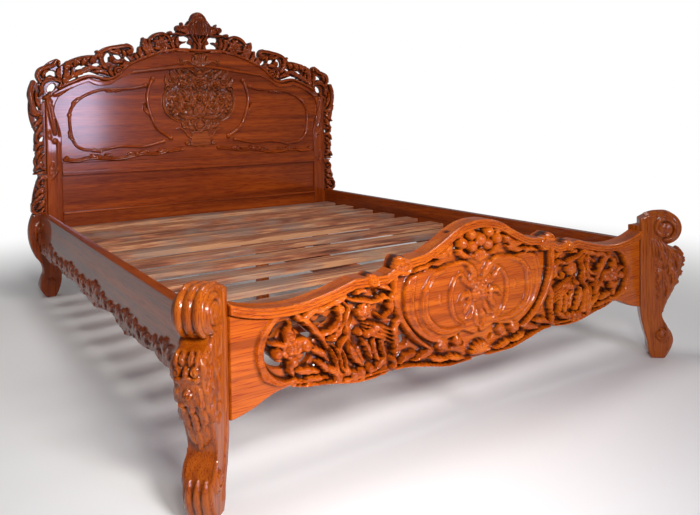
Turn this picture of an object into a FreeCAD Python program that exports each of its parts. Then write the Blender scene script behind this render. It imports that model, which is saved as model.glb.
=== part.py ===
import FreeCAD, Part
import Sketcher
import math
import os
import re

# Carved bed frame: a tall headboard with a serpentine arch and a pierced crest, a pierced footboard
# between two diagonal front posts with volutes, side rails with a wavy lower edge, and sawn slats.
# Millimetres. The floor is z = 0, x = 0 is the bed's centre line and the headboard is at the +Y end.
# Outlines are tables of shares: how far along, and how far up, the named sizes that they follow.

SIZES = (
    ("plane_distance", 2160, "face of the footboard to face of the headboard"),
    ("fit_gap", 0.3, "clearance between curved faces of neighbouring pieces"),
    # Headboard frame
    ("inner_half", 692, "centre line to the inner edge of a stile"),
    ("stile_width", 68, "width of the stile above the leg"),
    ("leg_reach", 151, "inner edge of the stile to the outermost point of the leg"),
    ("head_post_depth", 60, "headboard post, front to back"),
    ("shoulder_height", 960, "top of the stile"),
    ("stile_bow", 27, "how far the stile's inner edge bows outwards"),
    ("head_rail_thickness", 40, "bottom and middle rails, front to back"),
    ("bottom_rail_width", 150, "bottom rail, bottom to top"),
    ("lower_panel_height", 176, "bottom rail to middle rail"),
    ("middle_rail_width", 60, "middle rail, bottom to top"),
    ("panel_setback", 12, "face of the frame to face of the panels"),
    ("panel_thickness", 20, "panels and the tongues of the rails"),
    ("groove_depth", 50, "groove in the stile"),
    ("tongue_length", 40, "tongue of a rail in the groove"),
    ("panel_edge", 46, "edge of a panel in the groove"),
    ("bead_width", 20, "bead moulding on the middle rail"),
    ("bead_depth", 9, "how far the bead moulding stands out"),
    ("bead_round", 4, "rounding of the bead moulding"),
    ("lower_bead_width", 9, "moulding on the bottom rail's upper edge"),
    # Headboard arch and carvings
    ("arch_overlap", 33, "inner edge of the stile to the end of the arch"),
    ("arch_rise", 240, "shoulder to the crown of the arch"),
    ("side_carving_reach", 70, "outer edge of the stile to the edge of the side carving"),
    ("side_split_lift", 185, "top of the leg to the joint between the two side carvings"),
    ("side_joint_gap", 2, "shadow gap between the two side carvings"),
    ("carving_thickness", 32, "side and crest carvings, front to back"),
    ("corner_length", 35, "end of the arch to the joint of crest and corner"),
    ("finial_rise", 451, "shoulder to the tip of the finial"),
    ("pierce_size", 10, "half a pierced hole of middling size"),
    ("rose_radius", 34, "carved rose"),
    ("rose_depth", 12, "how far a rose stands out"),
    ("shell_height", 14, "how far the shell stands out"),
    # Headboard applied mouldings
    ("basket_lift", 56, "middle rail to the foot of the flower basket"),
    ("basket_depth", 20, "flower basket, front to back"),
    ("vase_gap", 9, "top of the basket to the foot of the vase"),
    ("vase_half_width", 48, "vase over the basket, centre line to edge"),
    ("vase_height", 76, "vase over the basket, foot to top"),
    ("vase_depth", 16, "vase over the basket, front to back"),
    ("field_bead", 9, "width of the panel moulding"),
    ("field_bead_height", 7, "how far the panel moulding stands out"),
    ("scroll_width", 12, "width of the C-scroll moulding"),
    ("wave_width", 13, "width of the wavy moulding"),
    ("wave_height", 10, "how far the wavy moulding stands out"),
    ("wave_rise", 46, "wavy moulding, lowest to highest point"),
    # Footboard
    ("foot_spread", 63.6, "stile's inner edge to the front post, across the bed"),
    ("footboard_bottom", 160, "floor to the footboard's lowest edge"),
    ("footboard_rise", 400, "lowest edge to the crown of the footboard"),
    ("footboard_thickness", 38, "pierced panel, front to back"),
    ("cap_width", 26, "cap moulding, bottom to top"),
    ("cap_overhang", 5, "how far the cap stands out from the panel"),
    ("relief_height", 7, "carved relief on the footboard"),
    ("relief_width", 11, "width of a relief scroll on the footboard"),
    ("foot_tenon_length", 18, "tenon of the footboard panel"),
    ("foot_tenon_thickness", 18, "tenon of the footboard panel"),
    ("foot_tenon_height", 160, "tenon of the footboard panel"),
    ("foot_tenon_bottom", 230, "floor to the tenon of the footboard panel"),
    # Front posts
    ("post_thickness", 68, "front post, cheek to cheek"),
    ("knee_reach", 140, "footboard face to the knee, along the diagonal"),
    ("volute_reach", 81, "footboard face to the volute's centre, along the diagonal"),
    ("volute_height", 453, "floor to the volute's centre"),
    ("volute_radius", 50, "outer radius of the volute"),
    ("roll_overhang", 6, "how far the volute stands out of each cheek"),
    # Side rails and mattress support
    ("rail_offset", 35, "outer edge of the stile to the outer face of a side rail"),
    ("rail_thickness", 30, "side rail, inside to outside"),
    ("rail_top", 404, "floor to the upper edge of a side rail"),
    ("rail_stand", 4, "side rail's upper edge above the headboard's shaped leg"),
    ("rail_width", 200, "side rail, mean lower edge to upper edge"),
    ("rail_wave", 36, "height of the side rail's carved wave"),
    ("rail_relief", 5, "carved relief on the side rail"),
    ("slat_drop", 69, "side rail's upper edge to the top of the slats"),
    ("slat_thickness", 20, "slat, bottom to top"),
    ("slat_width", 95, "slat, front to back"),
    ("slat_end_gap", 3, "slat's end to the side rail"),
    ("slat_count", 11, "number of slats"),
    ("first_slat_gap", 30, "headboard to the first slat"),
    ("last_slat_gap", 44, "last slat to the footboard"),
    ("ledger_size", 28, "ledger strip, each way"),
    ("ledger_end_gap", 20, "ledger's end to the post or headboard"),
    ("beam_width", 40, "centre beam, side to side"),
    ("beam_height", 75, "centre beam, bottom to top"),
    ("centre_leg_width", 45, "centre leg, each way"),
    ("centre_leg_share", 0.17, "centre leg's place, as a share of the plane distance"),
    ("cleat_width", 90, "beam cleat, side to side"),
    ("cleat_depth", 28, "beam cleat, front to back"),
    ("cleat_height", 40, "beam cleat, below the beam"),
    ("cleat_wall", 22, "beam cleat's cheek beside the beam"),
    # Rail fittings
    ("plate_thickness", 3, "hook and catch plates"),
    ("plate_width", 18, "hook plate, side to side"),
    ("plate_height", 120, "hook plate, bottom to top"),
    ("plate_drop", 34, "side rail's upper edge to the hook plate"),
    ("catch_border", 2, "catch plate beyond the hook plate, each side"),
    ("hook_thickness", 4, "hook, side to side"),
    ("hook_reach", 13, "hook beyond the rail's end"),
    ("hook_height", 28, "hook, bottom to top"),
    ("hook_drop", 8, "nib of the hook below its neck"),
    ("hook_spacing", 52, "from hook to hook"),
    ("slot_play", 1, "play of a hook in its slot"),
)

FORMULAS = (
    ("post_diagonal", "post_thickness / 2 * sqrt(2)", "leg of the triangle between the cheeks"),
    ("foot_face", "(knee_reach / sqrt(2) - head_post_depth - plane_distance) / 2", "face of the footboard"),
    ("head_face", "foot_face + plane_distance", "face of the headboard"),
    ("post_seat", "foot_face + post_diagonal", "rear face of the front post, where the rail ends"),
    ("foot_tenon_front", "foot_face + (post_diagonal - foot_tenon_thickness) / 4", "face of the tenon"),
    ("rail_length", "head_face - post_seat", "side rail, end to end"),
    ("footboard_half", "inner_half + foot_spread", "centre line to the front post"),
    ("rail_outer_half", "inner_half + stile_width + rail_offset", "centre line to the rail's outer face"),
    ("rail_inner_half", "rail_outer_half - rail_thickness", "centre line to the inner face of a side rail"),
    ("leg_height", "rail_top - rail_stand", "height of the shaped leg"),
    ("slat_top", "rail_top - slat_drop", "floor to the top of the slats"),
    ("plate_bottom", "rail_top - plate_drop - plate_height", "floor to the hook plate"),
    ("lower_panel_top", "leg_height + lower_panel_height", "lower edge of the middle rail"),
    ("middle_rail_top", "lower_panel_top + middle_rail_width", "upper edge of the middle rail"),
    ("side_split_height", "leg_height + side_split_lift", "floor to the joint of the side carvings"),
    ("field_bottom", "middle_rail_top + wave_rise", "floor to the field over the wavy moulding"),
    ("field_rise", "shoulder_height + 0.15 * arch_rise - field_bottom", "height of the field"),
    ("arch_end", "inner_half + arch_overlap", "centre line to the end of the arch"),
    ("crest_joint", "arch_end - corner_length", "centre line to the joint of crest and corner"),
    ("finial_joint", "inner_half / 2", "centre line to the joint of crest and finial"),
    ("basket_foot", "middle_rail_top + basket_lift", "floor to the foot of the flower basket"),
    ("basket_height", "shoulder_height + 0.61 * arch_rise - basket_foot", "flower basket, foot to top"),
    ("beam_top", "slat_top - slat_thickness", "underside of the slats"),
    ("beam_foot", "foot_face + footboard_thickness", "rear face of the footboard"),
)

# Curved outlines are chains of arcs, each through three points in turn. A half outline starts on the
# centre line, in the middle of its first arc.

# Half of the arch, from the crown to the shoulder: shares of arch_end and arch_rise.
ARCH_TOP_SHARES = (
    (0, 0.98), (0.138, 0.995), (0.276, 0.925), (0.414, 0.77), (0.51, 0.625), (0.586, 0.41),
    (0.655, 0.32), (0.772, 0.375), (0.883, 0.25), (1, 0.055),
)
ARCH_BOTTOM_SHARES = (
    (0, 0.64), (0.2, 0.585), (0.345, 0.52), (0.483, 0.475), (0.552, 0.4), (0.614, 0.275), (0.69, 0.215),
    (0.772, 0.29), (0.883, 0.155),
)

# Leg of the headboard post below the stile, outer edge from the stile down to the foot, then the
# inner edge up to the bottom rail: shares of leg_reach and leg_height.
LEG_OUTER_SHARES = (
    (0.87, 1), (0.98, 0.87), (1, 0.76), (0.93, 0.6), (0.77, 0.46), (0.64, 0.38), (0.62, 0.28), (0.7, 0.2),
    (0.73, 0.13), (0.66, 0.06), (0.52, 0),
)
LEG_INNER_SHARES = ((0.285, 0), (0.17, 0.09), (0.1, 0.2), (0.07, 0.36), (0, 0.52))

# Stile's bowed inner edge: shares of stile_bow and of the height from side_split_height to the shoulder.
STILE_BOW_SHARES = ((0, 0.5), (0.3, 0.62), (0.9, 0.74), (1, 0.87), (0.1, 1))

# Front post's edges, along the diagonal and up: shares of knee_reach and volute_height.
POST_OUTER_SHARES = (
    (0.543, 0), (0.7, 0.08), (0.73, 0.18), (0.6, 0.27), (0.52, 0.34), (0.62, 0.44), (0.76, 0.53),
    (0.92, 0.66), (0.99, 0.76), (0.97, 0.82), (0.86, 0.84), (0.66, 0.855), (0.56, 0.893),
)
POST_INNER_SHARES = ((-0.085, 0.372), (0.02, 0.29), (0.1, 0.2), (0.19, 0.11), (0.271, 0))
POST_TOP_SHARES = ((0.5, 1.11), (0.3, 1.105), (0, 1.066))
POST_JUNCTION_SHARES = (0.393, 1.015)

# Footboard's upper and lower edges, from the centre to the post: shares of footboard_half and
# footboard_rise.
CAP_SHARES = (
    (0, 1.0), (0.13, 0.94), (0.2, 0.868), (0.27, 0.813), (0.37, 0.777), (0.43, 0.722), (0.5, 0.727),
    (0.56, 0.732), (0.645, 0.688), (0.73, 0.656), (0.87, 0.652), (1, 0.715),
)
APRON_SHARES = (
    (0, 0), (0.1, 0.012), (0.18, 0.045), (0.25, 0.062), (0.34, 0.082), (0.39, 0.064), (0.46, 0.072),
    (0.53, 0.055), (0.58, 0.078), (0.62, 0.106), (0.645, 0.1), (0.665, 0.09), (0.78, 0.155), (0.9, 0.1),
    (0.95, 0.065), (1, 0.045),
)

# Pierced holes and raised leaves: place in shares of the piece's own sizes, half length and half width
# in shares of pierce_size, and the tilt of the length in degrees.
FOOT_HOLE_SHARES = (
    (0.867, 0.395, 2.2, 0.6, 90), (0.743, 0.467, 3.6, 0.7, 38), (0.832, 0.295, 1.9, 0.5, 30),
    (0.655, 0.505, 2.0, 0.5, 20), (0.571, 0.48, 2.2, 0.6, 90), (0.55, 0.32, 2.2, 0.6, 50),
    (0.463, 0.265, 2.0, 0.5, 100), (0.346, 0.27, 2.2, 0.6, 60),
)
# Relief scrolls on one half of the footboard, each a path in the same shares, and the flowers on both
# halves with their radius in shares of rose_radius.
FOOT_RELIEF_SHARES = (
    ((0.77, 0.575), (0.87, 0.52), (0.893, 0.39), (0.86, 0.26), (0.75, 0.19)),
    ((0.24, 0.66), (0.272, 0.45), (0.13, 0.26)),
)
FOOT_FLOWER_SHARES = ((0.793, 0.375, 0.85), (-0.793, 0.375, 0.85))

# Carvings beside the stile: shares of side_carving_reach outwards and of the height from
# side_split_height to the shoulder upwards.
UPPER_SIDE_SHARES = (
    ((0.53, 0.01), (0.86, 0.01)),
    ((0.86, 0.01), (0.6, 0.085)),
    ((0.6, 0.085), (0.8, 0.17), (0.5, 0.275)),
    ((0.5, 0.275), (0.74, 0.42), (0.66, 0.545)),
    ((0.66, 0.545), (0.95, 0.7), (1, 0.95), (0.86, 1.14), (0.55, 1.19)),
    ((0.55, 1.19), (0.38, 1.15)),
    ((0.38, 1.15), (0.2, 1.33), (-0.78, 1.48)),
    ((-0.78, 1.48), (-0.98, 1.38)),
)
UPPER_SIDE_HOLE_SHARES = (
    (0.55, 0.7, 1.8, 0.5, 80), (0.35, 0.45, 2.2, 0.5, 55), (0.32, 0.175, 2.0, 0.5, 90),
    (-0.25, 1.255, 2.0, 0.5, 0),
)
LOWER_SIDE_SHARES = (
    ((0, 1), (0.5, 1)), ((0.5, 1), (0.83, 0.62), (0.98, 0.2)), ((0.98, 0.2), (0.95, 0)), ((0.95, 0), (0, 0)),
)
LOWER_SIDE_HOLE_SHARES = ((0.42, 0.46, 1.7, 0.5, -20), (0.37, 0.22, 2.2, 0.6, 75))

# Crest between the corner and the finial, outer end first: shares of crest_joint and arch_rise.
CREST_SHARES = (
    ((1, 0.604), (0.9, 0.783), (0.761, 0.846)),
    ((0.761, 0.846), (0.777, 0.73)),
    ((0.777, 0.73), (0.68, 0.98), (0.58, 1.054)),
    ((0.58, 1.054), (0.525, 1.108), (0.504, 0.96)),
    ((0.504, 0.96), (0.5, 0.84)),
)
CREST_HOLE_SHARES = (
    (0.9, 0.39, 3.4, 0.4, -27), (0.745, 0.415, 3.0, 0.4, 11), (0.68, 0.77, 3.0, 0.6, 85),
)

# Right half of the finial from the tip to the joint: shares of finial_joint and finial_rise.
FINIAL_SHARES = (
    (0, 1), (0.122, 0.927), (0.18, 0.86), (0.255, 0.803), (0.307, 0.811), (0.342, 0.754), (0.383, 0.71),
    (0.435, 0.698), (0.551, 0.732), (0.696, 0.647), (0.783, 0.659), (0.87, 0.661), (0.904, 0.543),
    (1, 0.455),
)
FINIAL_HOLE_SHARES = ((0.205, 0.62, 3.2, 1.1, 50),)
FINIAL_ROSE_SHARES = (0.58, 0.6)
FINIAL_SHELL_SHARES = (
    ((-0.22, 0.76), (0, 0.94), (0.22, 0.76)), ((0.22, 0.76), (0, 0.71)), ((0, 0.71), (-0.22, 0.76)),
)

# Flower basket and vase, right half from foot to top: shares of their own half width and height. The
# basket's half width is a share of inner_half, and its rose's radius a share of rose_radius.
BASKET_SHARES = (
    (0.3, 0), (0.37, 0.03), (0.33, 0.07), (0.37, 0.19), (0.6, 0.25), (1, 0.56), (0.72, 0.83), (0.62, 0.9),
    (0.58, 1),
)
BASKET_HALF_SHARE = 0.289
BASKET_ROSE_SHARES = (0, 0.66, 1.3)
VASE_SHARES = ((0.5, 0), (1, 0.5), (0.8, 1))

# Raised panel moulding and C-scroll: shares of inner_half and, above field_bottom, of field_rise.
# The wavy moulding below them rises in shares of wave_rise.
FIELD_SHARES = (
    (0.41, 1.06), (0.505, 1.01), (0.613, 1), (0.734, 0.992), (0.856, 0.876), (0.931, 0.694),
    (0.944, 0.475), (0.924, 0.201), (0.87, 0.0682), (0.748, 0.0351), (0.599, 0.0846), (0.437, 0.0682),
    (0.275, 0.144),
)
SCROLL_SHARES = (
    (0.238, 0.201), (0.336, 0.373), (0.394, 0.678), (0.402, 0.921), (0.369, 1.15),
)
WAVE_SHARES = (
    (0.127, 1), (0.341, 0.6), (0.554, 0.32), (0.708, 0.2), (0.81, 0.3), (0.896, 0.05), (0.981, 0.3),
)

# Lower edge of a side rail from the front post to the headboard, and the leaves over it: shares of
# rail_length and rail_wave.
RAIL_WAVE_SHARES = (
    (0, 0.35), (0.05, 0.72), (0.1, 0.8), (0.13, 0.5), (0.17, 0.85), (0.22, 0.45), (0.27, 0.5), (0.33, 0.15),
    (0.37, 0.95), (0.41, 0.6), (0.45, 0.3), (0.5, -0.1), (0.57, 0.2), (0.6, 0.5), (0.63, 0.7), (0.68, 0.5),
    (0.74, 0.2), (0.77, 0.6), (0.8, 0.75), (0.86, 0.3), (0.93, 0.55), (0.97, 0.5), (1, 0.4),
)
RAIL_LEAF_SHARES = ((0.17, 1.4, 3.0, 0.7, 25), (0.41, 1.5, 2.8, 0.7, 80), (0.8, 1.5, 2.6, 0.7, -70))

# An arc that rises less than this share of its chord is drawn as a line.
FLATTEST_RISE = 0.01
HALVINGS = 40

DOC = FreeCAD.newDocument("CarvedBedFrame")
SHEET = DOC.addObject("Spreadsheet::Sheet", "Sizes")
NODES = []
ALIASES = {row[0] for row in SIZES + FORMULAS}


def fill_sheet():
    """Writes every named size and formula into the spreadsheet."""
    rows = [(alias, str(value), note) for alias, value, note in SIZES]
    rows += [(alias, "=" + formula, note) for alias, formula, note in FORMULAS]
    for row, (alias, content, note) in enumerate(rows, start=1):
        SHEET.set("A%d" % row, note)
        SHEET.set("B%d" % row, content)
        SHEET.setAlias("B%d" % row, alias)
    DOC.recompute()


def size(alias):
    """Returns a size from the spreadsheet as a number."""
    return float(SHEET.get(alias))


def link(target, prop, formula):
    """Binds a property to a formula written in the spreadsheet's names."""
    words = re.sub(
        r"[a-z_]+", lambda found: "Sizes." + found[0] if found[0] in ALIASES else found[0], formula
    )
    target.setExpression(prop, words)


def place(target, across="0", along="0", up="0"):
    """Binds an object's position to three formulas."""
    for axis, formula in zip("xyz", (across, along, up)):
        link(target, "Placement.Base." + axis, formula)


def node(target, label):
    """Names a finished sub-part and puts it on the list of nodes."""
    target.Label = label
    NODES.append(target)
    return target


def box(label, across, along, up, spans):
    """Makes a box from its lower corner and its three spans, all formulas."""
    block = DOC.addObject("Part::Box", label)
    for prop, formula in zip(("Length", "Width", "Height"), spans):
        link(block, prop, formula)
    place(block, across, along, up)
    return block


def side_box(label, side, inner, along, up, spans):
    """Makes a box on one side of the bed from the formula of its face nearest the centre line."""
    across = inner if side > 0 else "-(%s) - (%s)" % (inner, spans[0])
    return box(label, across, along, up, spans)


def cut(base, *tools):
    """Cuts tools from a base, one after the other."""
    for tool in tools:
        result = DOC.addObject("Part::Cut", "Cut")
        result.Base = base
        result.Tool = tool
        base = result
    return base


def fuse(*shapes):
    """Joins shapes to one solid."""
    result = DOC.addObject("Part::MultiFuse", "Fuse")
    result.Shapes = list(shapes)
    result.Refine = True
    return result


def group(*shapes):
    """Keeps separate solids together as one object."""
    result = DOC.addObject("Part::Compound", "Group")
    result.Links = list(shapes)
    return result


def arcs(points):
    """Returns a line for two points, and for more an arc through each three in turn."""
    points = [FreeCAD.Vector(x, z, 0) for x, z in points]
    if len(points) == 2:
        return [Part.LineSegment(*points)]
    edges = []
    for start, middle, end in zip(points[::2], points[1::2], points[2::2]):
        rise = middle.distanceToLine(start, end - start)
        flat = rise < FLATTEST_RISE * start.distanceToPoint(end)
        edges.append(Part.LineSegment(start, end) if flat else Part.Arc(start, middle, end))
    return edges


def runs(*stretches):
    """Returns the edges of an outline from its stretches of points."""
    return [edge for points in stretches for edge in arcs(points)]


def clipped(edges, low, high):
    """Returns the part of a path between two places across the bed, and its two ends."""
    kept = []
    for edge in edges:
        places = sorted((edge.FirstParameter, edge.LastParameter), key=lambda place: edge.value(place).x)
        if edge.value(places[0]).x >= high or edge.value(places[1]).x <= low:
            continue
        ends = [crossing(edge, places, limit) for limit in (low, high)]
        middle = edge.value((ends[0] + ends[1]) / 2)
        first, last = (edge.value(place) for place in ends)
        straight = isinstance(edge, Part.LineSegment)
        kept.append(Part.LineSegment(first, last) if straight else Part.Arc(first, middle, last))
    kept.sort(key=lambda edge: edge.value((edge.FirstParameter + edge.LastParameter) / 2).x)
    corners = [point for edge in (kept[0], kept[-1]) for point in (edge.StartPoint, edge.EndPoint)]
    first = min(corners, key=lambda point: point.x)
    last = max(corners, key=lambda point: point.x)
    return kept, (first.x, first.y), (last.x, last.y)


def crossing(edge, places, limit):
    """Returns the parameter where an edge crosses a place across the bed, or its nearer end."""
    left, right = places
    if edge.value(left).x >= limit:
        return left
    if edge.value(right).x <= limit:
        return right
    for halving in range(HALVINGS):
        middle = (left + right) / 2
        if edge.value(middle).x < limit:
            left = middle
        else:
            right = middle
    return right


def scaled(shares, across, up, left=0, bottom=0, side=1):
    """Turns shares into points: across and up are the sizes that the shares follow."""
    return [(side * (left + u * across), bottom + v * up) for u, v in shares]


def mirrored(points):
    """Returns a half outline from the centre, joined to its mirror image on the left."""
    return [(-x, z) for x, z in points[:0:-1]] + list(points)


def two_sided(right):
    """Returns the outline between a right edge, its mirror image and straight lines from edge to edge."""
    left = [(-x, z) for x, z in right]
    return runs(right, left, [left[0], right[0]], [left[-1], right[-1]])


def ribbon(points, width):
    """Returns the outline of a strip of even width along a path."""
    left = []
    right = []
    last = len(points) - 1
    for index, (x, z) in enumerate(points):
        before = points[max(index - 1, 0)]
        after = points[min(index + 1, last)]
        run = math.hypot(after[0] - before[0], after[1] - before[1])
        across = (before[1] - after[1]) / run * width / 2
        up = (after[0] - before[0]) / run * width / 2
        left.append((x + across, z + up))
        right.append((x - across, z - up))
    return runs(left, [left[-1], right[-1]], right[::-1], [right[0], left[0]])


def leaf_shapes(shares, across, up, left=0, bottom=0, side=1):
    """Returns the pierced holes or raised leaves of a table, each between two arcs."""
    shapes = []
    for u, v, length, width, tilt in shares:
        centre = FreeCAD.Vector(side * (left + u * across), bottom + v * up, 0)
        turn = math.radians(tilt)
        along = FreeCAD.Vector(side * math.cos(turn), math.sin(turn), 0) * (length * size("pierce_size"))
        over = FreeCAD.Vector(-side * math.sin(turn), math.cos(turn), 0) * (width * size("pierce_size"))
        shapes.append(Part.Arc(centre - along, centre + over, centre + along))
        shapes.append(Part.Arc(centre - along, centre - over, centre + along))
    return shapes


def circle(x, z, radius):
    """Returns a circle in a sketch plane."""
    return Part.Circle(FreeCAD.Vector(x, z, 0), FreeCAD.Vector(0, 0, 1), radius)


def body(name):
    """Starts a body."""
    return DOC.addObject("PartDesign::Body", name)


def sketch(owner, edges, role="XZ_Plane"):
    """Draws edges in a sketch on one of the body's own origin planes."""
    plane = next(feature for feature in owner.Origin.OriginFeatures if feature.Role == role)
    drawing = owner.newObject("Sketcher::SketchObject", owner.Name + "Sketch")
    drawing.AttachmentSupport = [(plane, "")]
    drawing.MapMode = "FlatFace"
    for edge in edges:
        drawing.addGeometry(edge, False)
    return drawing


def pad(owner, edges, length, backwards=False, middle=False, role="XZ_Plane"):
    """Pads a sketch: forwards to -Y, backwards to +Y, or both ways from the middle."""
    feature = owner.newObject("PartDesign::Pad", owner.Name + "Pad")
    feature.Profile = sketch(owner, edges, role)
    link(feature, "Length", length)
    feature.Reversed = backwards
    feature.Midplane = middle
    owner.Tip = feature
    DOC.recompute()
    return feature


def arch_top(gap=0):
    """Returns the arch's upper edge from end to end, raised by a gap."""
    points = scaled(ARCH_TOP_SHARES, size("arch_end"), size("arch_rise"), 0, size("shoulder_height") + gap)
    return mirrored(points)


def arch_stretch(inner, outer, side):
    """Returns the seat on the arch between two distances from the centre line, and its two ends."""
    seat = arcs(arch_top(size("fit_gap")))
    if side > 0:
        return clipped(seat, inner, outer)
    edges, outer_end, inner_end = clipped(seat, -outer, -inner)
    return edges, inner_end, outer_end


def headboard_post(side, label):
    """Plank with a shaped leg, a stile with a bowed inner edge, and a groove for rails and panels."""
    inner = size("inner_half")
    leg = size("leg_height")
    shoulder = size("shoulder_height")
    split = size("side_split_height")
    stile = inner + size("stile_width")
    outer_edge = scaled(LEG_OUTER_SHARES, size("leg_reach"), leg, inner, 0, side)
    inner_edge = scaled(LEG_INNER_SHARES, size("leg_reach"), leg, inner, 0, side)
    bow = scaled(STILE_BOW_SHARES, size("stile_bow"), shoulder - split, inner, split, side)
    step = (side * stile, leg)
    plank = body(label + "_plank")
    pad(plank, runs(
        outer_edge, [outer_edge[-1], inner_edge[0]], inner_edge, [inner_edge[-1], bow[0]], bow,
        [bow[-1], (side * stile, shoulder)], [(side * stile, shoulder), step], [step, outer_edge[0]],
    ), "head_post_depth", backwards=True)
    place(plank, along="head_face")
    groove = side_box(
        label + "_groove", side, "inner_half", "head_face + panel_setback", "leg_height - bottom_rail_width",
        ("groove_depth", "panel_thickness + fit_gap", "shoulder_height - leg_height + bottom_rail_width"),
    )
    return node(cut(plank, groove, *rail_pockets(side, "head", label)), label)


def tongued_rail(label, bottom, height):
    """Rail between the stiles with a tongue at each end."""
    board = box(
        label + "_board", "-inner_half", "head_face", bottom,
        ("2 * inner_half", "head_rail_thickness", height),
    )
    tongue = box(
        label + "_tongue", "-inner_half - tongue_length", "head_face + panel_setback", bottom,
        ("2 * (inner_half + tongue_length)", "panel_thickness", height),
    )
    return node(fuse(board, tongue), label)


def bead(label, height, width):
    """Rounded moulding across the headboard."""
    strip = box(
        label + "_strip", "-inner_half", "head_face - bead_depth", height,
        ("2 * inner_half", "bead_depth", width),
    )
    rounded = DOC.addObject("Part::Fillet", label + "_round")
    rounded.Base = strip
    DOC.recompute()
    edges = []
    for index, edge in enumerate(strip.Shape.Edges, start=1):
        box_of_edge = edge.BoundBox
        in_front = box_of_edge.YMax < size("head_face") - size("fit_gap")
        if box_of_edge.XLength > size("inner_half") and in_front:
            edges.append((index, size("bead_round"), size("bead_round")))
    rounded.Edges = edges
    return node(rounded, label)


def upper_panel():
    """Panel behind the arch, its edges in the grooves of the stiles."""
    edge = size("inner_half") + size("panel_edge")
    bottom = size("middle_rail_top")
    shoulder = size("shoulder_height") - size("slot_play")
    arch = arch_top()
    end = size("arch_end")
    board = body("upper_panel_board")
    corners = [(end, shoulder), (edge, shoulder), (edge, bottom)]
    corners += [(-x, z) for x, z in corners[::-1]]
    corners = [arch[-1]] + corners + [arch[0]]
    sides = [corners[index:index + 2] for index in range(len(corners) - 1)]
    pad(board, runs(arch, *sides), "panel_thickness", backwards=True)
    place(board, along="head_face + panel_setback")
    return node(board, "headboard_upper_panel")


def arch():
    """Serpentine moulding on the panel's upper edge."""
    shoulder = size("shoulder_height")
    end = size("arch_end")
    top = arch_top()
    half = scaled(ARCH_BOTTOM_SHARES, end, size("arch_rise"), 0, shoulder)
    inner = size("inner_half")
    bottom = mirrored(half + [(inner + size("fit_gap"), shoulder)])
    moulding = body("arch_moulding")
    pad(moulding, runs(
        top, [top[-1], (end, shoulder)], [(end, shoulder), bottom[-1]], bottom[::-1],
        [bottom[0], (-end, shoulder)], [(-end, shoulder), top[0]],
    ), "panel_setback", backwards=True)
    place(moulding, along="head_face")
    return node(moulding, "headboard_arch")


def lower_side_carving(side, label):
    """Pierced carving beside the lower panel."""
    bottom = size("leg_height")
    rise = size("side_split_lift") - size("side_joint_gap")
    start = size("inner_half") + size("stile_width")
    reach = size("side_carving_reach")
    stretches = [scaled(run, reach, rise, start, bottom, side) for run in LOWER_SIDE_SHARES]
    stretches.append([stretches[-1][-1], stretches[0][0]])
    carving = body(label + "_carving")
    holes = leaf_shapes(LOWER_SIDE_HOLE_SHARES, reach, rise, start, bottom, side)
    pad(carving, runs(*stretches) + holes, "carving_thickness", backwards=True)
    place(carving, along="head_face")
    return node(carving, label)


def upper_side_carving(side, label):
    """Pierced carving beside the upper panel, with the corner scroll above the stile."""
    split = size("side_split_height")
    rise = size("shoulder_height") - split
    start = size("inner_half") + size("stile_width")
    reach = size("side_carving_reach")
    gap = size("fit_gap")
    joint = size("crest_joint") + gap
    seat, seat_inner, seat_outer = arch_stretch(joint, size("arch_end"), side)
    stretches = [scaled(run, reach, rise, start, split, side) for run in UPPER_SIDE_SHARES]
    stretches[-1][-1] = (side * joint, stretches[-1][-1][1])
    top = size("shoulder_height") + gap
    overhang = (side * (size("arch_end") + gap), seat_outer[1])
    corner = (overhang[0], top)
    stile = (side * (start + gap), top)
    foot = (side * (start + gap), stretches[0][0][1])
    stretches += [
        [stretches[-1][-1], seat_inner], [seat_outer, overhang], [overhang, corner], [corner, stile],
        [stile, foot], [foot, stretches[0][0]],
    ]
    carving = body(label + "_carving")
    holes = leaf_shapes(UPPER_SIDE_HOLE_SHARES, reach, rise, start, split, side)
    pad(carving, runs(*stretches) + seat + holes, "carving_thickness", backwards=True)
    place(carving, along="head_face")
    return node(carving, label)


def crest_carving(side, label):
    """Pierced leaves and C-scroll on the arch, between the corner and the finial."""
    gap = size("fit_gap")
    shoulder = size("shoulder_height")
    outer = size("crest_joint")
    inner = size("finial_joint") + gap
    seat, seat_inner, seat_outer = arch_stretch(inner, outer, side)
    stretches = [scaled(run, outer, size("arch_rise"), 0, shoulder, side) for run in CREST_SHARES]
    stretches[-1][-1] = (side * inner, stretches[-1][-1][1])
    stretches += [[stretches[-1][-1], seat_inner], [seat_outer, stretches[0][0]]]
    carving = body(label + "_carving")
    holes = leaf_shapes(CREST_HOLE_SHARES, outer, size("arch_rise"), 0, shoulder, side)
    pad(carving, runs(*stretches) + seat + holes, "carving_thickness", backwards=True)
    place(carving, along="head_face")
    return node(carving, label)


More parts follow.
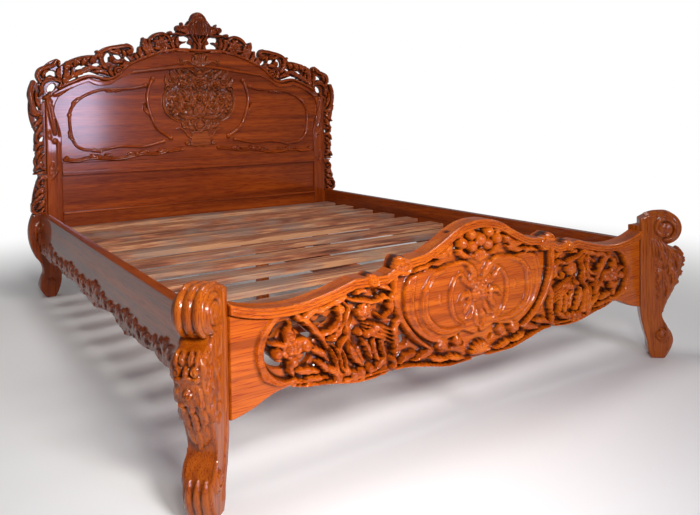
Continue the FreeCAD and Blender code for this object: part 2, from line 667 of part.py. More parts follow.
def finial():
    """Shell, roses and scrolls over the middle of the arch."""
    gap = size("fit_gap")
    joint = size("finial_joint")
    shoulder = size("shoulder_height")
    rise = size("finial_rise")
    outline = mirrored(scaled(FINIAL_SHARES, joint, rise, 0, shoulder))
    seat, seat_left, seat_right = clipped(arcs(arch_top(gap)), -joint, joint)
    carving = body("crest_finial_carving")
    holes = leaf_shapes(FINIAL_HOLE_SHARES, joint, rise, 0, shoulder)
    holes += leaf_shapes(FINIAL_HOLE_SHARES, joint, rise, 0, shoulder, -1)
    edges = runs(outline, [outline[-1], seat_right], [outline[0], seat_left])
    pad(carving, edges + seat + holes, "carving_thickness", backwards=True)
    shell = [scaled(run, joint, rise, 0, shoulder) for run in FINIAL_SHELL_SHARES]
    pad(carving, runs(*shell), "shell_height")
    across, up = FINIAL_ROSE_SHARES
    roses = [circle(sign * joint * across, shoulder + rise * up, size("rose_radius")) for sign in (-1, 1)]
    pad(carving, roses, "rose_depth")
    place(carving, along="head_face")
    return node(carving, "crest_finial")


def flower_basket():
    """Flower basket on the upper panel, with its largest rose."""
    half = BASKET_HALF_SHARE * size("inner_half")
    rise = size("basket_height")
    foot = size("basket_foot")
    basket = body("flower_basket_carving")
    pad(basket, two_sided(scaled(BASKET_SHARES, half, rise, 0, foot)), "basket_depth")
    across, up, scale = BASKET_ROSE_SHARES
    rose = circle(across * half, foot + up * rise, scale * size("rose_radius"))
    pad(basket, [rose], "basket_depth + rose_depth")
    place(basket, along="head_face + panel_setback")
    return node(basket, "flower_basket")


def vase():
    """Vase on the arch, between the basket and the finial."""
    foot = size("basket_foot") + size("basket_height") + size("vase_gap")
    right = scaled(VASE_SHARES, size("vase_half_width"), size("vase_height"), 0, foot)
    carving = body("crest_vase_carving")
    pad(carving, two_sided(right), "vase_depth")
    place(carving, along="head_face")
    return node(carving, "crest_vase")


def applied_ribbon(label, points, width, height, setback="panel_setback"):
    """Raised moulding of even width on the headboard."""
    strip = body(label + "_strip")
    pad(strip, ribbon(points, size(width)), height)
    place(strip, along="head_face + " + setback)
    return node(strip, label)


def headboard_mouldings(side, name):
    """Panel moulding, C-scroll and wavy moulding on one half of the upper panel."""
    inner = size("inner_half")
    field = scaled(FIELD_SHARES, inner, size("field_rise"), 0, size("field_bottom"), side)
    applied_ribbon("panel_moulding_" + name, field, "field_bead", "field_bead_height")
    scroll = scaled(SCROLL_SHARES, inner, size("field_rise"), 0, size("field_bottom"), side)
    applied_ribbon("c_scroll_moulding_" + name, scroll, "scroll_width", "field_bead_height")
    bottom = size("middle_rail_top") + size("wave_width") / 2
    wave = scaled(WAVE_SHARES, inner, size("wave_rise"), 0, bottom, side)
    applied_ribbon("wavy_moulding_" + name, wave, "wave_width", "wave_height")


def cap_line(drop):
    """Returns the footboard's upper edge, lowered by a drop."""
    bottom = size("footboard_bottom") - drop
    points = scaled(CAP_SHARES, size("footboard_half"), size("footboard_rise"), 0, bottom)
    return mirrored(points)


def footboard_panel():
    """Pierced panel with relief scrolls and flowers, and a tenon at each end."""
    half = size("footboard_half")
    rise = size("footboard_rise")
    bottom = size("footboard_bottom")
    top = cap_line(size("cap_width") + size("fit_gap"))
    apron = mirrored(scaled(APRON_SHARES, half, rise, 0, bottom))
    holes = []
    for side in (1, -1):
        holes += leaf_shapes(FOOT_HOLE_SHARES, half, rise, 0, bottom, side)
    panel = body("footboard_board")
    outline = runs(top, [top[-1], apron[-1]], apron[::-1], [apron[0], top[0]])
    pad(panel, outline + holes, "footboard_thickness", True)
    scrolls = []
    for side in (1, -1):
        for scroll in FOOT_RELIEF_SHARES:
            scrolls += ribbon(scaled(scroll, half, rise, 0, bottom, side), size("relief_width"))
    pad(panel, scrolls, "relief_height")
    radius = size("rose_radius")
    flowers = [circle(u * half, bottom + v * rise, scale * radius) for u, v, scale in FOOT_FLOWER_SHARES]
    pad(panel, flowers, "rose_depth")
    place(panel, along="foot_face")
    ends = [
        side_box(
            "footboard_tenon_end", side, "footboard_half - relief_width",
            "foot_tenon_front", "foot_tenon_bottom",
            ("foot_tenon_length + relief_width", "foot_tenon_thickness", "foot_tenon_height"),
        )
        for side in (1, -1)
    ]
    return node(fuse(panel, *ends), "footboard_panel")


def cap_moulding():
    """Moulding along the footboard's upper edge."""
    cap = body("cap_strip")
    top = cap_line(0)
    low = cap_line(size("cap_width"))
    edges = runs(top, [top[-1], low[-1]], low[::-1], [low[0], top[0]])
    pad(cap, edges, "footboard_thickness + 2 * cap_overhang", True)
    place(cap, along="foot_face - cap_overhang")
    return node(cap, "footboard_cap")


def front_post(side, label):
    """Diagonal post with a volute, a knee and a scroll foot, and a right angle for panel and rail."""
    reach = size("knee_reach")
    high = size("volute_height")
    half = size("post_thickness") / 2
    volute = (size("volute_reach"), high)
    outer = scaled(POST_OUTER_SHARES, reach, high)
    inner = scaled(POST_INNER_SHARES, reach, high)
    top = scaled(POST_TOP_SHARES, reach, high)
    top[0] = (volute[0], high + size("volute_radius"))
    low, tall = (share * high for share in POST_JUNCTION_SHARES)
    post = body(label + "_post")
    back = [(-half, tall), (-half, low)]
    pad(post, runs(
        outer, [outer[-1], volute], [volute, top[0]], top, [top[-1], back[0]], back, [back[1], inner[0]],
        inner, [inner[-1], outer[0]],
    ), "post_thickness", middle=True)
    corners = []
    for sign in (1, -1):
        apex = (-half, 0)
        edge = (0, sign * half)
        corner = (-half, sign * half)
        corners += runs([apex, edge], [edge, corner], [corner, apex])
    pocket = post.newObject("PartDesign::Pocket", label + "_corners")
    pocket.Profile = sketch(post, corners, "XY_Plane")
    pocket.Type = "ThroughAll"
    pocket.Midplane = True
    post.Tip = pocket
    pad(post, [circle(*volute, size("volute_radius"))], "post_thickness + 2 * roll_overhang", middle=True)
    place(post, "%d * (footboard_half + post_diagonal / 2)" % side, "foot_face + post_diagonal / 2")
    post.Placement.Rotation = FreeCAD.Rotation(FreeCAD.Vector(1, 0, 0), FreeCAD.Vector(side, -1, 0))
    mortise = side_box(
        label + "_mortise", side, "footboard_half", "foot_tenon_front", "foot_tenon_bottom",
        ("foot_tenon_length", "foot_tenon_thickness", "foot_tenon_height"),
    )
    return node(cut(post, mortise, *rail_pockets(side, "foot", label)), label)


def along_from(end, start, length):
    """Returns the lower bound along the bed of a box that starts at a rail's end and goes into the post."""
    if end == "head":
        return "head_face + (%s)" % start
    return "post_seat - (%s) - (%s)" % (start, length)


def fitting_box(label, side, end, start, length, width, up, height):
    """Makes a box of a rail fitting, centred in the rail's thickness."""
    inner = "rail_outer_half - rail_thickness / 2 - (%s) / 2" % width
    return side_box(label, side, inner, along_from(end, start, length), up, (width, length, height))


def rail_pockets(side, end, label):
    """Returns the pockets in a post for the catch plate and the hooks behind it."""
    plate = fitting_box(
        label + "_plate_pocket", side, end, "0", "plate_thickness", "plate_width + 2 * catch_border",
        "plate_bottom - catch_border", "plate_height + 2 * catch_border",
    )
    hooks = fitting_box(
        label + "_hook_pocket", side, end, "plate_thickness", "hook_reach", "hook_thickness + 2 * slot_play",
        "plate_bottom", "plate_height",
    )
    return plate, hooks


def hook_plate(side, end):
    """Steel plate in the rail's end with two hooks."""
    plate = fitting_box(
        "hook_plate", side, end, "-plate_thickness", "plate_thickness", "plate_width", "plate_bottom",
        "plate_height",
    )
    parts = [plate]
    for index in (0, 1):
        rest = "plate_bottom + plate_height / 2 - hook_spacing / 2 + %d * hook_spacing" % index
        parts.append(fitting_box(
            "hook_neck", side, end, "-plate_thickness", "hook_reach + plate_thickness", "hook_thickness",
            rest, "hook_height - hook_drop",
        ))
        parts.append(fitting_box(
            "hook_nib", side, end, "plate_thickness + slot_play", "hook_reach - plate_thickness - slot_play",
            "hook_thickness", rest + " - hook_drop", "hook_height",
        ))
    return fuse(*parts)


def catch_plate(side, end):
    """Steel plate in the post with a slot for each hook."""
    plate = fitting_box(
        "catch_plate", side, end, "0", "plate_thickness", "plate_width + 2 * catch_border",
        "plate_bottom - catch_border", "plate_height + 2 * catch_border",
    )
    slots = []
    for index in (0, 1):
        slots.append(fitting_box(
            "catch_slot", side, end, "-plate_thickness", "3 * plate_thickness",
            "hook_thickness + 2 * slot_play",
            "plate_bottom + plate_height / 2 - hook_spacing / 2 + %d * hook_spacing" % index,
            "hook_height + slot_play",
        ))
    return cut(plate, *slots)


def rail_fittings():
    """Hook plates and catch plates of the four corner joints."""
    corners = [(side, end) for side in (-1, 1) for end in ("foot", "head")]
    node(group(*(hook_plate(side, end) for side, end in corners)), "rail_hook_plates")
    node(group(*(catch_plate(side, end) for side, end in corners)), "rail_catch_plates")


def side_rail(side, label):
    """Board with a wavy lower edge and carved leaf clusters on its outer face."""
    start = size("post_seat")
    length = size("rail_length")
    top = size("rail_top")
    bottom = top - size("rail_width")
    wave = [(start + u * length, bottom + v * size("rail_wave")) for u, v in RAIL_WAVE_SHARES]
    board = body(label + "_board")
    outline = runs(
        wave, [wave[-1], (wave[-1][0], top)], [(wave[-1][0], top), (start, top)], [(start, top), wave[0]]
    )
    pad(board, outline, "rail_thickness", backwards=side > 0, role="YZ_Plane")
    leaves = leaf_shapes(RAIL_LEAF_SHARES, length, size("rail_wave"), start, bottom)
    pad(board, leaves, "rail_relief", backwards=side < 0, role="YZ_Plane")
    place(board, "%d * rail_outer_half" % side)
    pockets = [
        fitting_box(
            label + "_hook_recess", side, end, "-plate_thickness", "plate_thickness", "plate_width",
            "plate_bottom", "plate_height",
        )
        for end in ("foot", "head")
    ]
    return node(cut(board, *pockets), label)


def ledger(side, label):
    """Strip on the inner face of a side rail that carries the slats."""
    strip = side_box(
        label, side, "rail_inner_half - ledger_size", "post_seat + ledger_end_gap", "beam_top - ledger_size",
        ("ledger_size", "rail_length - 2 * ledger_end_gap", "ledger_size"),
    )
    return node(strip, label)


def slats():
    """Sawn slats across the bed, the first one next to the headboard."""
    count = int(size("slat_count"))
    for index in range(count):
        slat = box(
            "slat", "-rail_inner_half + slat_end_gap",
            "head_face - first_slat_gap - slat_width - %d * (head_face - beam_foot - first_slat_gap"
            " - last_slat_gap - slat_width) / (slat_count - 1)" % index,
            "beam_top", ("2 * (rail_inner_half - slat_end_gap)", "slat_width", "slat_thickness"),
        )
        node(slat, "slat_%02d" % (index + 1))


def centre_beam():
    """Beam under the slats from the footboard to the headboard, with its cleats and legs."""
    beam = box(
        "beam", "-beam_width / 2", "beam_foot", "beam_top - beam_height",
        ("beam_width", "head_face - beam_foot", "beam_height"),
    )
    node(beam, "centre_beam")
    seats = (("beam_cleat_foot", "beam_foot"), ("beam_cleat_head", "head_face - cleat_depth"))
    for label, along in seats:
        block = box(
            label + "_block", "-cleat_width / 2", along, "beam_top - beam_height - cleat_height",
            ("cleat_width", "cleat_depth", "cleat_height + cleat_wall"),
        )
        notch = box(
            label + "_notch", "-beam_width / 2", along, "beam_top - beam_height",
            ("beam_width", "cleat_depth", "cleat_wall"),
        )
        node(cut(block, notch), label)
    for label, sign in (("centre_leg_front", "-"), ("centre_leg_rear", "")):
        leg = box(
            label, "-centre_leg_width / 2",
            sign + "plane_distance * centre_leg_share - centre_leg_width / 2", "0",
            ("centre_leg_width", "centre_leg_width", "beam_top - beam_height"),
        )
        node(leg, label)


def build():
    """Builds every sub-part."""
    for side, name in ((-1, "left"), (1, "right")):
        headboard_post(side, "headboard_post_" + name)
        lower_side_carving(side, "side_carving_lower_" + name)
        upper_side_carving(side, "side_carving_upper_" + name)
        crest_carving(side, "crest_carving_" + name)
        headboard_mouldings(side, name)
        front_post(side, "front_post_" + name)
        side_rail(side, "side_rail_" + name)
        ledger(side, "ledger_" + name)
    tongued_rail("headboard_bottom_rail", "leg_height - bottom_rail_width", "bottom_rail_width")
    tongued_rail("headboard_middle_rail", "lower_panel_top", "middle_rail_width")
    lower_panel = box(
        "lower_panel", "-inner_half - panel_edge", "head_face + panel_setback", "leg_height",
        ("2 * (inner_half + panel_edge)", "panel_thickness", "lower_panel_height"),
    )
    node(lower_panel, "headboard_lower_panel")
    bead("bead_moulding", "lower_panel_top", "bead_width")
    bead("lower_moulding", "leg_height - lower_bead_width", "lower_bead_width")
    upper_panel()
    arch()
    finial()
    flower_basket()
    vase()
    footboard_panel()
    cap_moulding()
    slats()
    centre_beam()
    rail_fittings()


def check():
    """Stops the build if any object failed or any sub-part has no valid solid."""
    DOC.recompute()
    for item in DOC.Objects:
        if "Invalid" in item.State or "Error" in item.State:
            raise RuntimeError("failed: %s %s" % (item.Label, item.State))
    for item in NODES:
        if item.Shape.isNull() or not item.Shape.isValid() or not item.Shape.Solids:
            raise RuntimeError("no valid solid: " + item.Label)


def export():
    """Writes each sub-part to its own file."""
    os.makedirs("parts", exist_ok=True)
    for item in NODES:
        item.Shape.exportStep("parts/%s.step" % item.Label)


fill_sheet()
build()
check()
export()
print("%d sub-parts written" % len(NODES))
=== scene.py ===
import logging
import math
from dataclasses import dataclass, field
from enum import Enum

import bmesh
import bpy
import numpy as np
from mathutils import Matrix, Vector


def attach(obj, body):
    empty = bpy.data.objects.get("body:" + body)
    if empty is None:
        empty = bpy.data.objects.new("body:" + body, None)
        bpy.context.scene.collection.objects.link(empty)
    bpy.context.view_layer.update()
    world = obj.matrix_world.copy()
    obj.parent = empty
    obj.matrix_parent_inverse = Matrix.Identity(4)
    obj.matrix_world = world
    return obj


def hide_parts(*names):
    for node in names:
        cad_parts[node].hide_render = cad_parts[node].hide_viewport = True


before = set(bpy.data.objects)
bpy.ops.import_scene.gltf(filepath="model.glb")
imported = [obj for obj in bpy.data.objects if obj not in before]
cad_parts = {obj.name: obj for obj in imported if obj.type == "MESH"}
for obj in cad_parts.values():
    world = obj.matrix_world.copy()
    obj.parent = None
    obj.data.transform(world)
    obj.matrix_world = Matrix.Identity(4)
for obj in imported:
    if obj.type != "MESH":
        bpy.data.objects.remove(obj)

# Carved bed frame in lacquered mahogany. The carved pieces are height fields in millimetres: a grid is
# trimmed to the outline of the CAD piece, raised by carved marks such as rolls, leaves and roses, and
# closed with a wall and a back. A carved face has its own plane: u runs across it, v up, h out of it.

MM = 0.001
LOG = logging.getLogger("bed")
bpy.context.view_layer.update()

Points = list[tuple[float, float]]


class Profile(Enum):
    """Cross-section of a carved roll."""

    ROUND = "round"
    REEDED = "reeded"
    CHANNEL = "channel"


class Axis(Enum):
    """Direction in which a piece's grain runs."""

    ACROSS = 0
    ALONG = 1
    UP = 2


# Curves


def smooth(points: Points, step: float = 2.0, closed: bool = False) -> np.ndarray:
    """Draws a smooth curve through points.

    Args:
        points: the points that the curve passes through, in order.
        step: distance between the points of the result.
        closed: whether the curve runs back to its first point.

    Returns:
        The curve's points, as rows.
    """
    knots = np.array(points, float)
    if len(knots) == 2:
        count = max(int(np.hypot(*(knots[1] - knots[0])) / step), 1)
        return knots[0] + np.linspace(0, 1, count + 1)[:, None] * (knots[1] - knots[0])
    if closed:
        knots = np.vstack([knots[-1], knots, knots[0], knots[1]])
    else:
        knots = np.vstack([2 * knots[0] - knots[1], knots, 2 * knots[-1] - knots[-2]])
    pieces = []
    for first, start, end, last in zip(knots[:-3], knots[1:-2], knots[2:-1], knots[3:]):
        count = max(int(np.hypot(*(end - start)) / step), 1)
        t = np.arange(count)[:, None] / count
        pieces.append(0.5 * (
            2 * start + (end - first) * t + (2 * first - 5 * start + 4 * end - last) * t**2
            + (3 * start - 3 * end + last - first) * t**3
        ))
    if not closed:
        pieces.append(knots[-2:-1])
    return np.vstack(pieces)


def spiral(centre: tuple[float, float], radius: float, start: float, turns: float,
           inner: float = 0.25) -> Points:
    """Returns a spiral that winds inwards.

    Args:
        centre: middle of the spiral.
        radius: radius at its outer end.
        start: angle of its outer end in degrees, from u towards v.
        turns: how often it winds, negative for clockwise.
        inner: radius at its inner end as a share of the outer one.

    Returns:
        Points from the outer end to the inner one.
    """
    count = int(abs(turns) * 20) + 2
    points = []
    for index in range(count):
        share = index / (count - 1)
        angle = math.radians(start + 360 * turns * share)
        reach = radius * (1 - (1 - inner) * share)
        points.append((centre[0] + reach * math.cos(angle), centre[1] + reach * math.sin(angle)))
    return points


def blurred(values: np.ndarray, reach: int) -> np.ndarray:
    """Returns the mean of a grid over a square window.

    Args:
        values: the grid.
        reach: half the window's width in grid steps.

    Returns:
        The smoothed grid.
    """
    for axis in (0, 1):
        padded = np.pad(values, [(reach + 1, reach) if a == axis else (0, 0) for a in (0, 1)], mode="edge")
        sums = np.cumsum(padded, axis=axis)
        width = 2 * reach + 1
        low = [slice(None)] * 2
        high = [slice(None)] * 2
        low[axis] = slice(0, -width)
        high[axis] = slice(width, None)
        values = (sums[tuple(high)] - sums[tuple(low)]) / width
    return values


# Carved field


@dataclass
class Field:
    """A carved face: a grid that holds how far the wood stands out and how far it is from an edge.

    With loops, the first is the outer edge and the others are pierced holes, and where the field grows,
    marks may stand out past them. Without loops the wood is only where marks are carved.
    """

    low: tuple[float, float]
    high: tuple[float, float]
    step: float
    ground: float
    rim: float = 3.0
    loops: list[np.ndarray] = field(default_factory=list)
    reach: float = 14.0
    grows: bool = False

    def __post_init__(self) -> None:
        """Lays the grid, with a column on the centre line, and measures the distance to the loops."""
        if self.loops:
            everything = np.vstack(self.loops)
            self.low = everything.min(axis=0)
            self.high = everything.max(axis=0)
        low = (np.floor(np.array(self.low) / self.step) - 2) * self.step
        counts = np.ceil((np.array(self.high) - low) / self.step).astype(int) + 3
        self.u = low[0] + self.step * np.arange(counts[0])
        self.v = low[1] + self.step * np.arange(counts[1])
        self.uu, self.vv = np.meshgrid(self.u, self.v)
        self.height = np.full(self.uu.shape, float(self.ground))
        self.cover = np.full(self.uu.shape, -self.reach)
        self.along = np.zeros(self.uu.shape)
        if self.loops:
            self._measure(self._within())

    def _within(self) -> np.ndarray:
        """Returns which grid points lie inside the loops, by counting crossings along each row.

        Returns:
            True for the points in the wood.
        """
        flips = np.zeros((len(self.v), len(self.u) + 1), int)
        for loop in self.loops:
            for (u1, v1), (u2, v2) in zip(loop, np.roll(loop, -1, axis=0)):
                lower, upper = sorted((v1, v2))
                rows = np.nonzero((self.v >= lower) & (self.v < upper))[0]
                if len(rows):
                    places = u1 + (self.v[rows] - v1) / (v2 - v1) * (u2 - u1)
                    np.add.at(flips, (rows, np.searchsorted(self.u, places)), 1)
        return np.cumsum(flips, axis=1)[:, :-1] % 2 == 1

    def _measure(self, inside: np.ndarray) -> None:
        """Finds each point's distance to the loops, up to the reach, and its place along them.

        Args:
            inside: which points lie in the wood.
        """
        best = np.full(self.uu.shape, self.reach**2)
        travelled = 0.0
        for loop in self.loops:
            for start, end in zip(loop, np.roll(loop, -1, axis=0)):
                run = end - start
                length = math.hypot(*run)
                if length < 1e-6:
                    continue
                window = self.window(np.array([start, end]), self.reach)
                du = self.uu[window] - start[0]
                dv = self.vv[window] - start[1]
                t = np.clip((du * run[0] + dv * run[1]) / length**2, 0, 1)
                gap = (du - t * run[0]) ** 2 + (dv - t * run[1]) ** 2
                closer = gap < best[window]
                best[window][closer] = gap[closer]
                self.along[window][closer] = travelled + t[closer] * length
                travelled += length
        self.cover = np.where(inside, np.sqrt(best), -np.sqrt(best))

    def window(self, points: np.ndarray, reach: float) -> tuple[slice, slice]:
        """Returns the rows and columns of the grid within a reach of some points.

        Args:
            points: the points.
            reach: how far around them.

        Returns:
            The rows and the columns.
        """
        low = points.min(axis=0) - reach
        high = points.max(axis=0) + reach
        columns = slice(*np.searchsorted(self.u, (low[0], high[0])))
        rows = slice(*np.searchsorted(self.v, (low[1], high[1])))
        return rows, columns

    def around(self, centre: tuple[float, float], radius: float) -> tuple:
        """Returns the window round a point, and its points' distances from it and angles in degrees.

        Args:
            centre: the point.
            radius: how far around it.

        Returns:
            The window, the distances and the angles.
        """
        window = self.window(np.array([centre]), radius + 2.5 * self.step)
        du = self.uu[window] - centre[0]
        dv = self.vv[window] - centre[1]
        return window, np.hypot(du, dv), np.degrees(np.arctan2(dv, du))

    def follow(self, path: tuple, half: float) -> tuple:
        """Measures grid points along and across a smooth path.

        Args:
            path: points that the path runs through.
            half: how far to either side the mark reaches.

        Returns:
            The window of the grid, and for its points the share of the way along the path and the
            distance from it. Points far from the path have an endless distance.
        """
        spine = smooth(list(path), 3.0)
        reach = half + 2.5 * self.step
        window = self.window(spine, reach)
        uu = self.uu[window]
        vv = self.vv[window]
        best = np.full(uu.shape, reach**2)
        along = np.zeros(uu.shape)
        travelled = 0.0
        for start, end in zip(spine[:-1], spine[1:]):
            run = end - start
            length = max(math.hypot(*run), 1e-6)
            du = uu - start[0]
            dv = vv - start[1]
            t = np.clip((du * run[0] + dv * run[1]) / length**2, 0, 1)
            gap = (du - t * run[0]) ** 2 + (dv - t * run[1]) ** 2
            closer = gap < best
            best = np.where(closer, gap, best)
            along = np.where(closer, travelled + t * length, along)
            travelled += length
        across = np.where(best < reach**2, np.sqrt(best), np.inf)
        return window, along / travelled, across

    def add(self, window: tuple[slice, slice], edge: np.ndarray, height: np.ndarray) -> None:
        """Adds wood where a mark's distance to its own edge is positive, and raises it to a height.

        Args:
            window: rows and columns.
            edge: distance to the mark's edge.
            height: height over the level.
        """
        part = self.height[window]
        where = edge > 0
        part[where] = np.maximum(part[where], height[where])
        if self.grows or not self.loops:
            self.cover[window] = np.maximum(self.cover[window], np.clip(edge, -self.reach, self.reach))

    def patch(self, outline: tuple, reach: float) -> tuple:
        """Returns the window round a smooth closed outline, and how far inside it each point lies.

        Args:
            outline: points round it.
            reach: how far around it.

        Returns:
            The window and the depths.
        """
        loop = smooth(list(outline), 3.0, closed=True)
        patch = Field((0, 0), (0, 0), self.step, 0.0, loops=[loop], reach=reach + 3 * self.step)
        rows = np.round((patch.v - self.v[0]) / self.step).astype(int)
        columns = np.round((patch.u - self.u[0]) / self.step).astype(int)
        keep_rows = (rows >= 0) & (rows < len(self.v))
        keep_columns = (columns >= 0) & (columns < len(self.u))
        rows = rows[keep_rows]
        columns = columns[keep_columns]
        window = (slice(rows[0], rows[-1] + 1), slice(columns[0], columns[-1] + 1))
        return window, patch.cover[np.ix_(keep_rows, keep_columns)]

    def carve(self, marks: list) -> "Field":
        """Cuts marks into the field, in order.

        Args:
            marks: the marks.

        Returns:
            The field itself.
        """
        for mark in marks:
            mark.carve(self)
        return self

    def surface(self) -> tuple[np.ndarray, np.ndarray]:
        """Returns the finished heights, with the rim rounded, and how deep each point lies below its
        surroundings, for the painted shade.

        Returns:
            The heights and the depths.
        """
        wood = self.cover > 0
        height = np.where(wood, self.height, self.ground)
        height = (height + blurred(height, 1)) / 2
        drop = np.clip(1 - np.maximum(self.cover, 0) / self.rim, 0, 1)
        height = height - self.rim * (1 - np.sqrt(1 - drop**2))
        # Painted shade: the deeper a point lies below its surroundings, the darker the material paints it.
        recess_shade = np.clip((blurred(height, max(int(9 / self.step), 2)) - height) / 10.0, 0, 1)
        return height, recess_shade


# Carved marks


@dataclass(frozen=True)
class Roll:
    """A raised roll along a smooth path, thinner towards its two ends by the shares in thin."""

    path: tuple
    width: float
    height: float
    profile: Profile = Profile.ROUND
    reeds: int = 3
    thin: tuple[float, float] = (1.0, 1.0)

    def carve(self, ground: Field) -> None:
        """Raises the roll.

        Args:
            ground: the field that it is cut in.
        """
        window, share, across = ground.follow(self.path, self.width / 2)
        thin = np.interp(share, (0, 0.35, 0.65, 1), (self.thin[0], 1, 1, self.thin[1]))
        half = self.width / 2 * thin
        place = np.minimum(across / half, 1)
        dome = np.sqrt(1 - place**2)
        if self.profile is Profile.REEDED:
            dome *= 0.62 + 0.38 * np.abs(np.sin(math.pi * self.reeds * (place + 1) / 2))
        elif self.profile is Profile.CHANNEL:
            dome = np.where(place < 0.8, 0.42 + 0.75 * place**2, 1.0) * np.sqrt(1 - place**5)
        ground.add(window, half - across, self.height * np.sqrt(thin) * dome)


@dataclass(frozen=True)
class Web:
    """Level wood along a path that joins the marks above it."""

    path: tuple
    width: float
    height: float = -99.0

    def carve(self, ground: Field) -> None:
        """Keeps the wood."""
        window, _, across = ground.follow(self.path, self.width / 2)
        ground.add(window, self.width / 2 - across, np.full(across.shape, max(self.height, ground.ground)))


@dataclass(frozen=True)
class Leaf:
    """An acanthus leaf along a curved midrib, with scooped lobes."""

    path: tuple
    width: float
    height: float
    lobes: int = 4
    notch: float = 0.28
    tip: float = 1.25

    def carve(self, ground: Field) -> None:
        """Raises the leaf.

        Args:
            ground: the field that it is cut in.
        """
        window, share, across = ground.follow(self.path, self.width / 2)
        half = self.width / 2 * np.sin(math.pi * np.clip(share, 0.03, 0.985) ** 0.72) ** 0.62
        reach = np.minimum(across / half, 3)
        turn = 0.7 * self.lobes * (share - 0.22 * np.minimum(reach, 1)) + 0.5
        lobe = np.abs(np.cos(math.pi * turn))
        limit = 1 - self.notch * lobe**3
        scoop = 0.76 + 0.24 * lobe**1.3
        scoop = scoop + (1 - scoop) * np.clip(1 - reach / 0.22, 0, 1)
        edge = np.clip((limit - reach) / 0.16, 0, 1) ** 0.5
        rib = 1 - 0.3 * np.exp(-((reach / 0.1) ** 2))
        rise = np.interp(share, (0, 0.15, 0.75, 0.93, 1), (0.45, 0.75, 1.0, self.tip, self.tip * 0.7))
        dome = (1 - 0.35 * np.minimum(reach, 1) ** 2) * scoop * rib * (0.4 + 0.6 * edge) * rise
        ground.add(window, limit * half - np.minimum(across, 99), self.height * dome)


@dataclass(frozen=True)
class Rose:
    """A rose: rings of domed petals round a button."""

    centre: tuple[float, float]
    radius: float
    height: float
    petals: int = 5
    rings: int = 3

    def carve(self, ground: Field) -> None:
        """Raises the rose.

        Args:
            ground: the field that it is cut in.
        """
        window, away, angle = ground.around(self.centre, self.radius)
        away = away / self.radius
        best = np.zeros(away.shape)
        edge = np.full(away.shape, -np.inf)
        for ring in range(self.rings):
            outer = 1 - ring / (self.rings + 0.35)
            inner = outer - 1.25 / (self.rings + 0.35)
            petal = np.abs(np.sin(math.pi * (angle / 360 * self.petals + 0.5 * ring)))
            limit = outer * (0.82 + 0.18 * petal**0.6)
            share = np.clip((away - inner) / (limit - inner), 0, 1)
            lift = 0.5 + 0.5 * ring / max(self.rings - 1, 1)
            dome = lift * (0.5 + 0.5 * petal**0.7) * (0.6 + 0.4 * np.sin(math.pi * share**1.4))
            best = np.where((away < limit) & (dome > best), dome, best)
            edge = np.maximum(edge, (limit - away) * self.radius)
        button = np.sqrt(np.clip(1 - (away / 0.18) ** 2, 0, 1))
        ground.add(window, edge, self.height * np.maximum(best, 1.05 * button))


@dataclass(frozen=True)
class Bead:
    """A round bead or berry."""

    centre: tuple[float, float]
    radius: float
    height: float

    def carve(self, ground: Field) -> None:
        """Raises the bead.

        Args:
            ground: the field that it is cut in.
        """
        window, away, _ = ground.around(self.centre, self.radius)
        dome = np.sqrt(np.clip(1 - (away / self.radius) ** 2, 0, 1))
        ground.add(window, self.radius - away, self.height * dome)


@dataclass(frozen=True)
class Shell:
    """A fan of ribs that spread from a root."""

    root: tuple[float, float]
    radius: float
    height: float
    heading: float = 90.0
    spread: float = 75.0
    ribs: int = 7

    def carve(self, ground: Field) -> None:
        """Raises the shell.

        Args:
            ground: the field that it is cut in.
        """
        window, away, angle = ground.around(self.root, self.radius)
        share = away / self.radius
        angle = (angle - self.heading + 180) % 360 - 180
        rib = np.abs(np.sin(math.pi * (angle / self.spread + 1) / 2 * self.ribs))
        limit = 0.86 + 0.14 * rib**0.7
        edge = np.clip((limit - share) / 0.1, 0, 1) ** 0.5
        dome = (0.4 + 0.6 * np.minimum(share, 1)) * (0.5 + 0.5 * rib) * (0.5 + 0.5 * edge)
        side = np.radians(self.spread - np.abs(angle)) * away
        ground.add(window, np.minimum((limit - share) * self.radius, side), self.height * dome)


@dataclass(frozen=True)
class Volute:
    """A roll that winds in to a button over level wood."""

    centre: tuple[float, float]
    radius: float
    height: float
    start: float
    turns: float
    width: float

    def carve(self, ground: Field) -> None:
        """Raises the spiral and its button.

        Args:
            ground: the field that it is cut in.
        """
        window, away, _ = ground.around(self.centre, self.radius)
        ground.add(window, self.radius * 0.9 - away, np.full(away.shape, float(ground.ground)))
        path = tuple(spiral(self.centre, self.radius - self.width / 2, self.start, self.turns))
        Roll(path, self.width, self.height, thin=(1.0, 0.75)).carve(ground)
        Bead(self.centre, self.radius * 0.32, self.height * 1.15).carve(ground)


@dataclass(frozen=True)
class Plateau:
    """A level patch inside a closed outline, with a rounded edge. A trimmed one stays inside the wood."""

    outline: tuple
    height: float
    edge: float = 4.0
    trimmed: bool = False

    def carve(self, ground: Field) -> None:
        """Raises the patch.

        Args:
            ground: the field that it is cut in.
        """
        window, depth = ground.patch(self.outline, self.edge)
        drop = np.clip(1 - depth / self.edge, 0, 1)
        level = self.height - 0.6 * self.edge * (1 - np.sqrt(1 - drop**2))
        if self.trimmed:
            depth = np.minimum(depth, ground.cover[window])
        ground.add(window, depth, level)


@dataclass(frozen=True)
class Pierced:
    """A hole right through the wood. What is carved later may cross it."""

    outline: tuple

    def carve(self, ground: Field) -> None:
        """Cuts the hole."""
        window, depth = ground.patch(self.outline, 4.0)
        ground.cover[window] = np.minimum(ground.cover[window], -depth)


